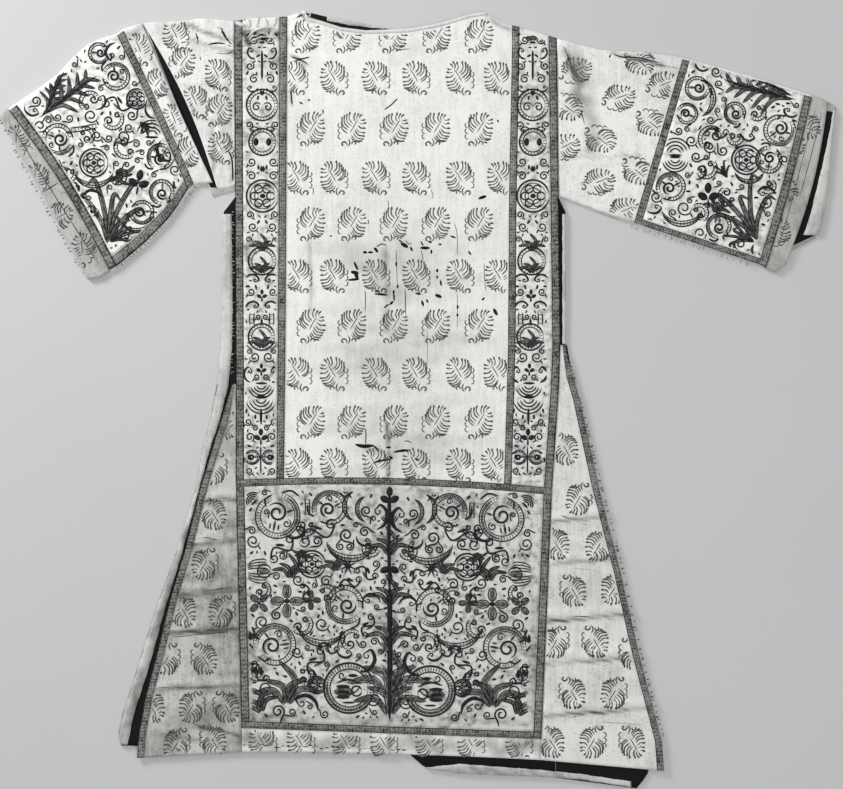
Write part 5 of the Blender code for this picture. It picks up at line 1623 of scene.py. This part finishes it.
# Painted shade: dark lines in the right sleeve's creases and under its folded-over top.
SLEEVE_CREASE_SHADES = (
    ((611, 53), (622, 57), (640, 58), (660, 63), 2.4), ((612, 52), (609, 58), 1.8),
    ((564, 46), (569, 60), (572, 74), 1.8), ((574, 98), (581, 112), (585, 126), 1.4),
    ((654, 64), (666, 66), (680, 69), 1.2),
)
# Painted shade: dark lines in the gores' creases.
GORE_CREASE_SHADES = (
    ((166, 633), (176, 636.5), (200, 634.5), (233, 631.5), 2.2),
    ((152, 688), (178, 687), (205, 689), (233, 690), 1.0), ((184, 594), (200, 592), (232, 587), 1.1),
    ((191, 541), (204, 537.5), (218, 540), 1.2), ((203, 502), (215, 499), (228, 498), 1.6),
    ((190, 722), (205, 728), (230, 733), (242, 734), 1.5), ((196, 712), (202, 718), (209, 723), 1.2),
    ((560.5, 515), (575, 521), (590, 526), 1.3), ((571, 568), (585, 569), (599, 572), 1.1),
    ((569, 616), (590, 617), (604, 618), (617, 621), 1.5), ((602, 667), (614, 662), 1.2),
    ((568, 718), (578, 716), (588, 713), 1.8), ((600, 722), (617, 723), (641, 724.5), 1.4),
    ((549, 668), (560, 665), (566, 666), 1.1),
)
LEFT_CUFF_SEAMS = (
    ((8, 118), (13, 128), (45, 180), (72, 223), (101, 268), 1.5),
    ((34, 196), (46, 190), (58, 183), 1.8), ((20, 152), (28, 146), (34, 150), 1.3),
)
RIGHT_CUFF_SEAMS = (
    ((817, 104), (805, 150), (792, 200), (777, 252), 1.1),
    ((822, 112), (812, 152), (800, 196), 1.3),
)
gore_crease_shade = cord_material("gore_crease_shade", (0.10, 0.099, 0.094), (0.02, 0.02, 0.019), 0.85)
cuff_thread = cord_material("cuff_thread", (0.16, 0.158, 0.15), (0.03, 0.03, 0.028), 0.8)
for name, rows, sleeve, height, rise, material, slot in (
    ("shoulder_crease_shade", SHOULDER_CREASE_SHADES, None, over_sleeve(SHOULDER_LEFT), 0.00025, tears_and_crease_shade,
     "lining"),
    ("sleeve_crease_shade", SLEEVE_CREASE_SHADES, None, over_sleeve(SLEEVE_RIGHT), 0.00025, tears_and_crease_shade, "lining"),
    ("gore_crease_shade_lines", GORE_CREASE_SHADES, None, cloth_height, 0.0001, gore_crease_shade, "gore_damask"),
    ("cuff_seams_left", LEFT_CUFF_SEAMS, CUFF_LEFT, over_sleeve(CUFF_LEFT), 0.0004, cuff_thread,
     "cuff_damask"),
    ("cuff_seams_right", RIGHT_CUFF_SEAMS, CUFF_RIGHT, over_sleeve(CUFF_RIGHT), 0.0004, cuff_thread,
     "cuff_damask"),
):
    strokes = [sweep(points, width) for *points, width in rows]
    if sleeve:
        strokes = kept_on(strokes, sleeve_outline(sleeve, 0.05, 1.95))
    couch(name, strokes, height, 0.0, rise, material)


def fringe(points, reach, pitch, seed, width=0.9):
    """Short uneven threads that stand out to the right of a line."""
    chance = random.Random(seed)
    line = sweep(points, 1.0, pitch)[0]
    made = []
    for first, last in zip(line, line[1:]):
        if chance.random() < 0.3:
            continue
        way = (last - first) / max(np.hypot(*(last - first)), 1e-9)
        out = np.array([-way[1], way[0]])
        first = first + way * chance.uniform(-1.6, 1.6)
        far = reach * chance.uniform(0.1, 1.15)
        tip = first + out * far + way * chance.uniform(-0.8, 0.8)
        made.append((np.linspace(first - out * 0.8, tip, 4), width * chance.uniform(0.8, 1.5)))
    return made


def near_floor(x, y):
    """Height of loose threads along an edge."""
    return 0.0036 + 0 * x


pale_thread = cord_material("pale_thread", (0.62, 0.615, 0.60), (0.30, 0.297, 0.285), 0.8)
pale_fringe = fringe([(231.5, 380), (231.8, 300), (232.5, 210)], 3.2, 3.0, 31) + fringe(
    [(757, 268.5), (735, 261), (700, 249), (660, 236), (622, 224.5)], 3.4, 3.2, 32) + fringe(
    [(196, 187.5), (180, 206.5), (158, 232), (132, 257), (112, 272)], 3.0, 3.4, 33)
grey_fringe = fringe([(566.5, 350), (580, 396), (602, 486), (624, 572), (641, 650), (664.5, 740)], 2.4,
                     3.4, 34) + fringe(
    [(0.5, 119), (30, 178), (60, 232), (86, 279)], 2.6, 3.6, 35)

couch("edge_fringe_pale", pale_fringe, near_floor, 0.0, 0.0006, pale_thread)
couch("edge_fringe_grey", grey_fringe, near_floor, 0.0, 0.0006, grey_floss)
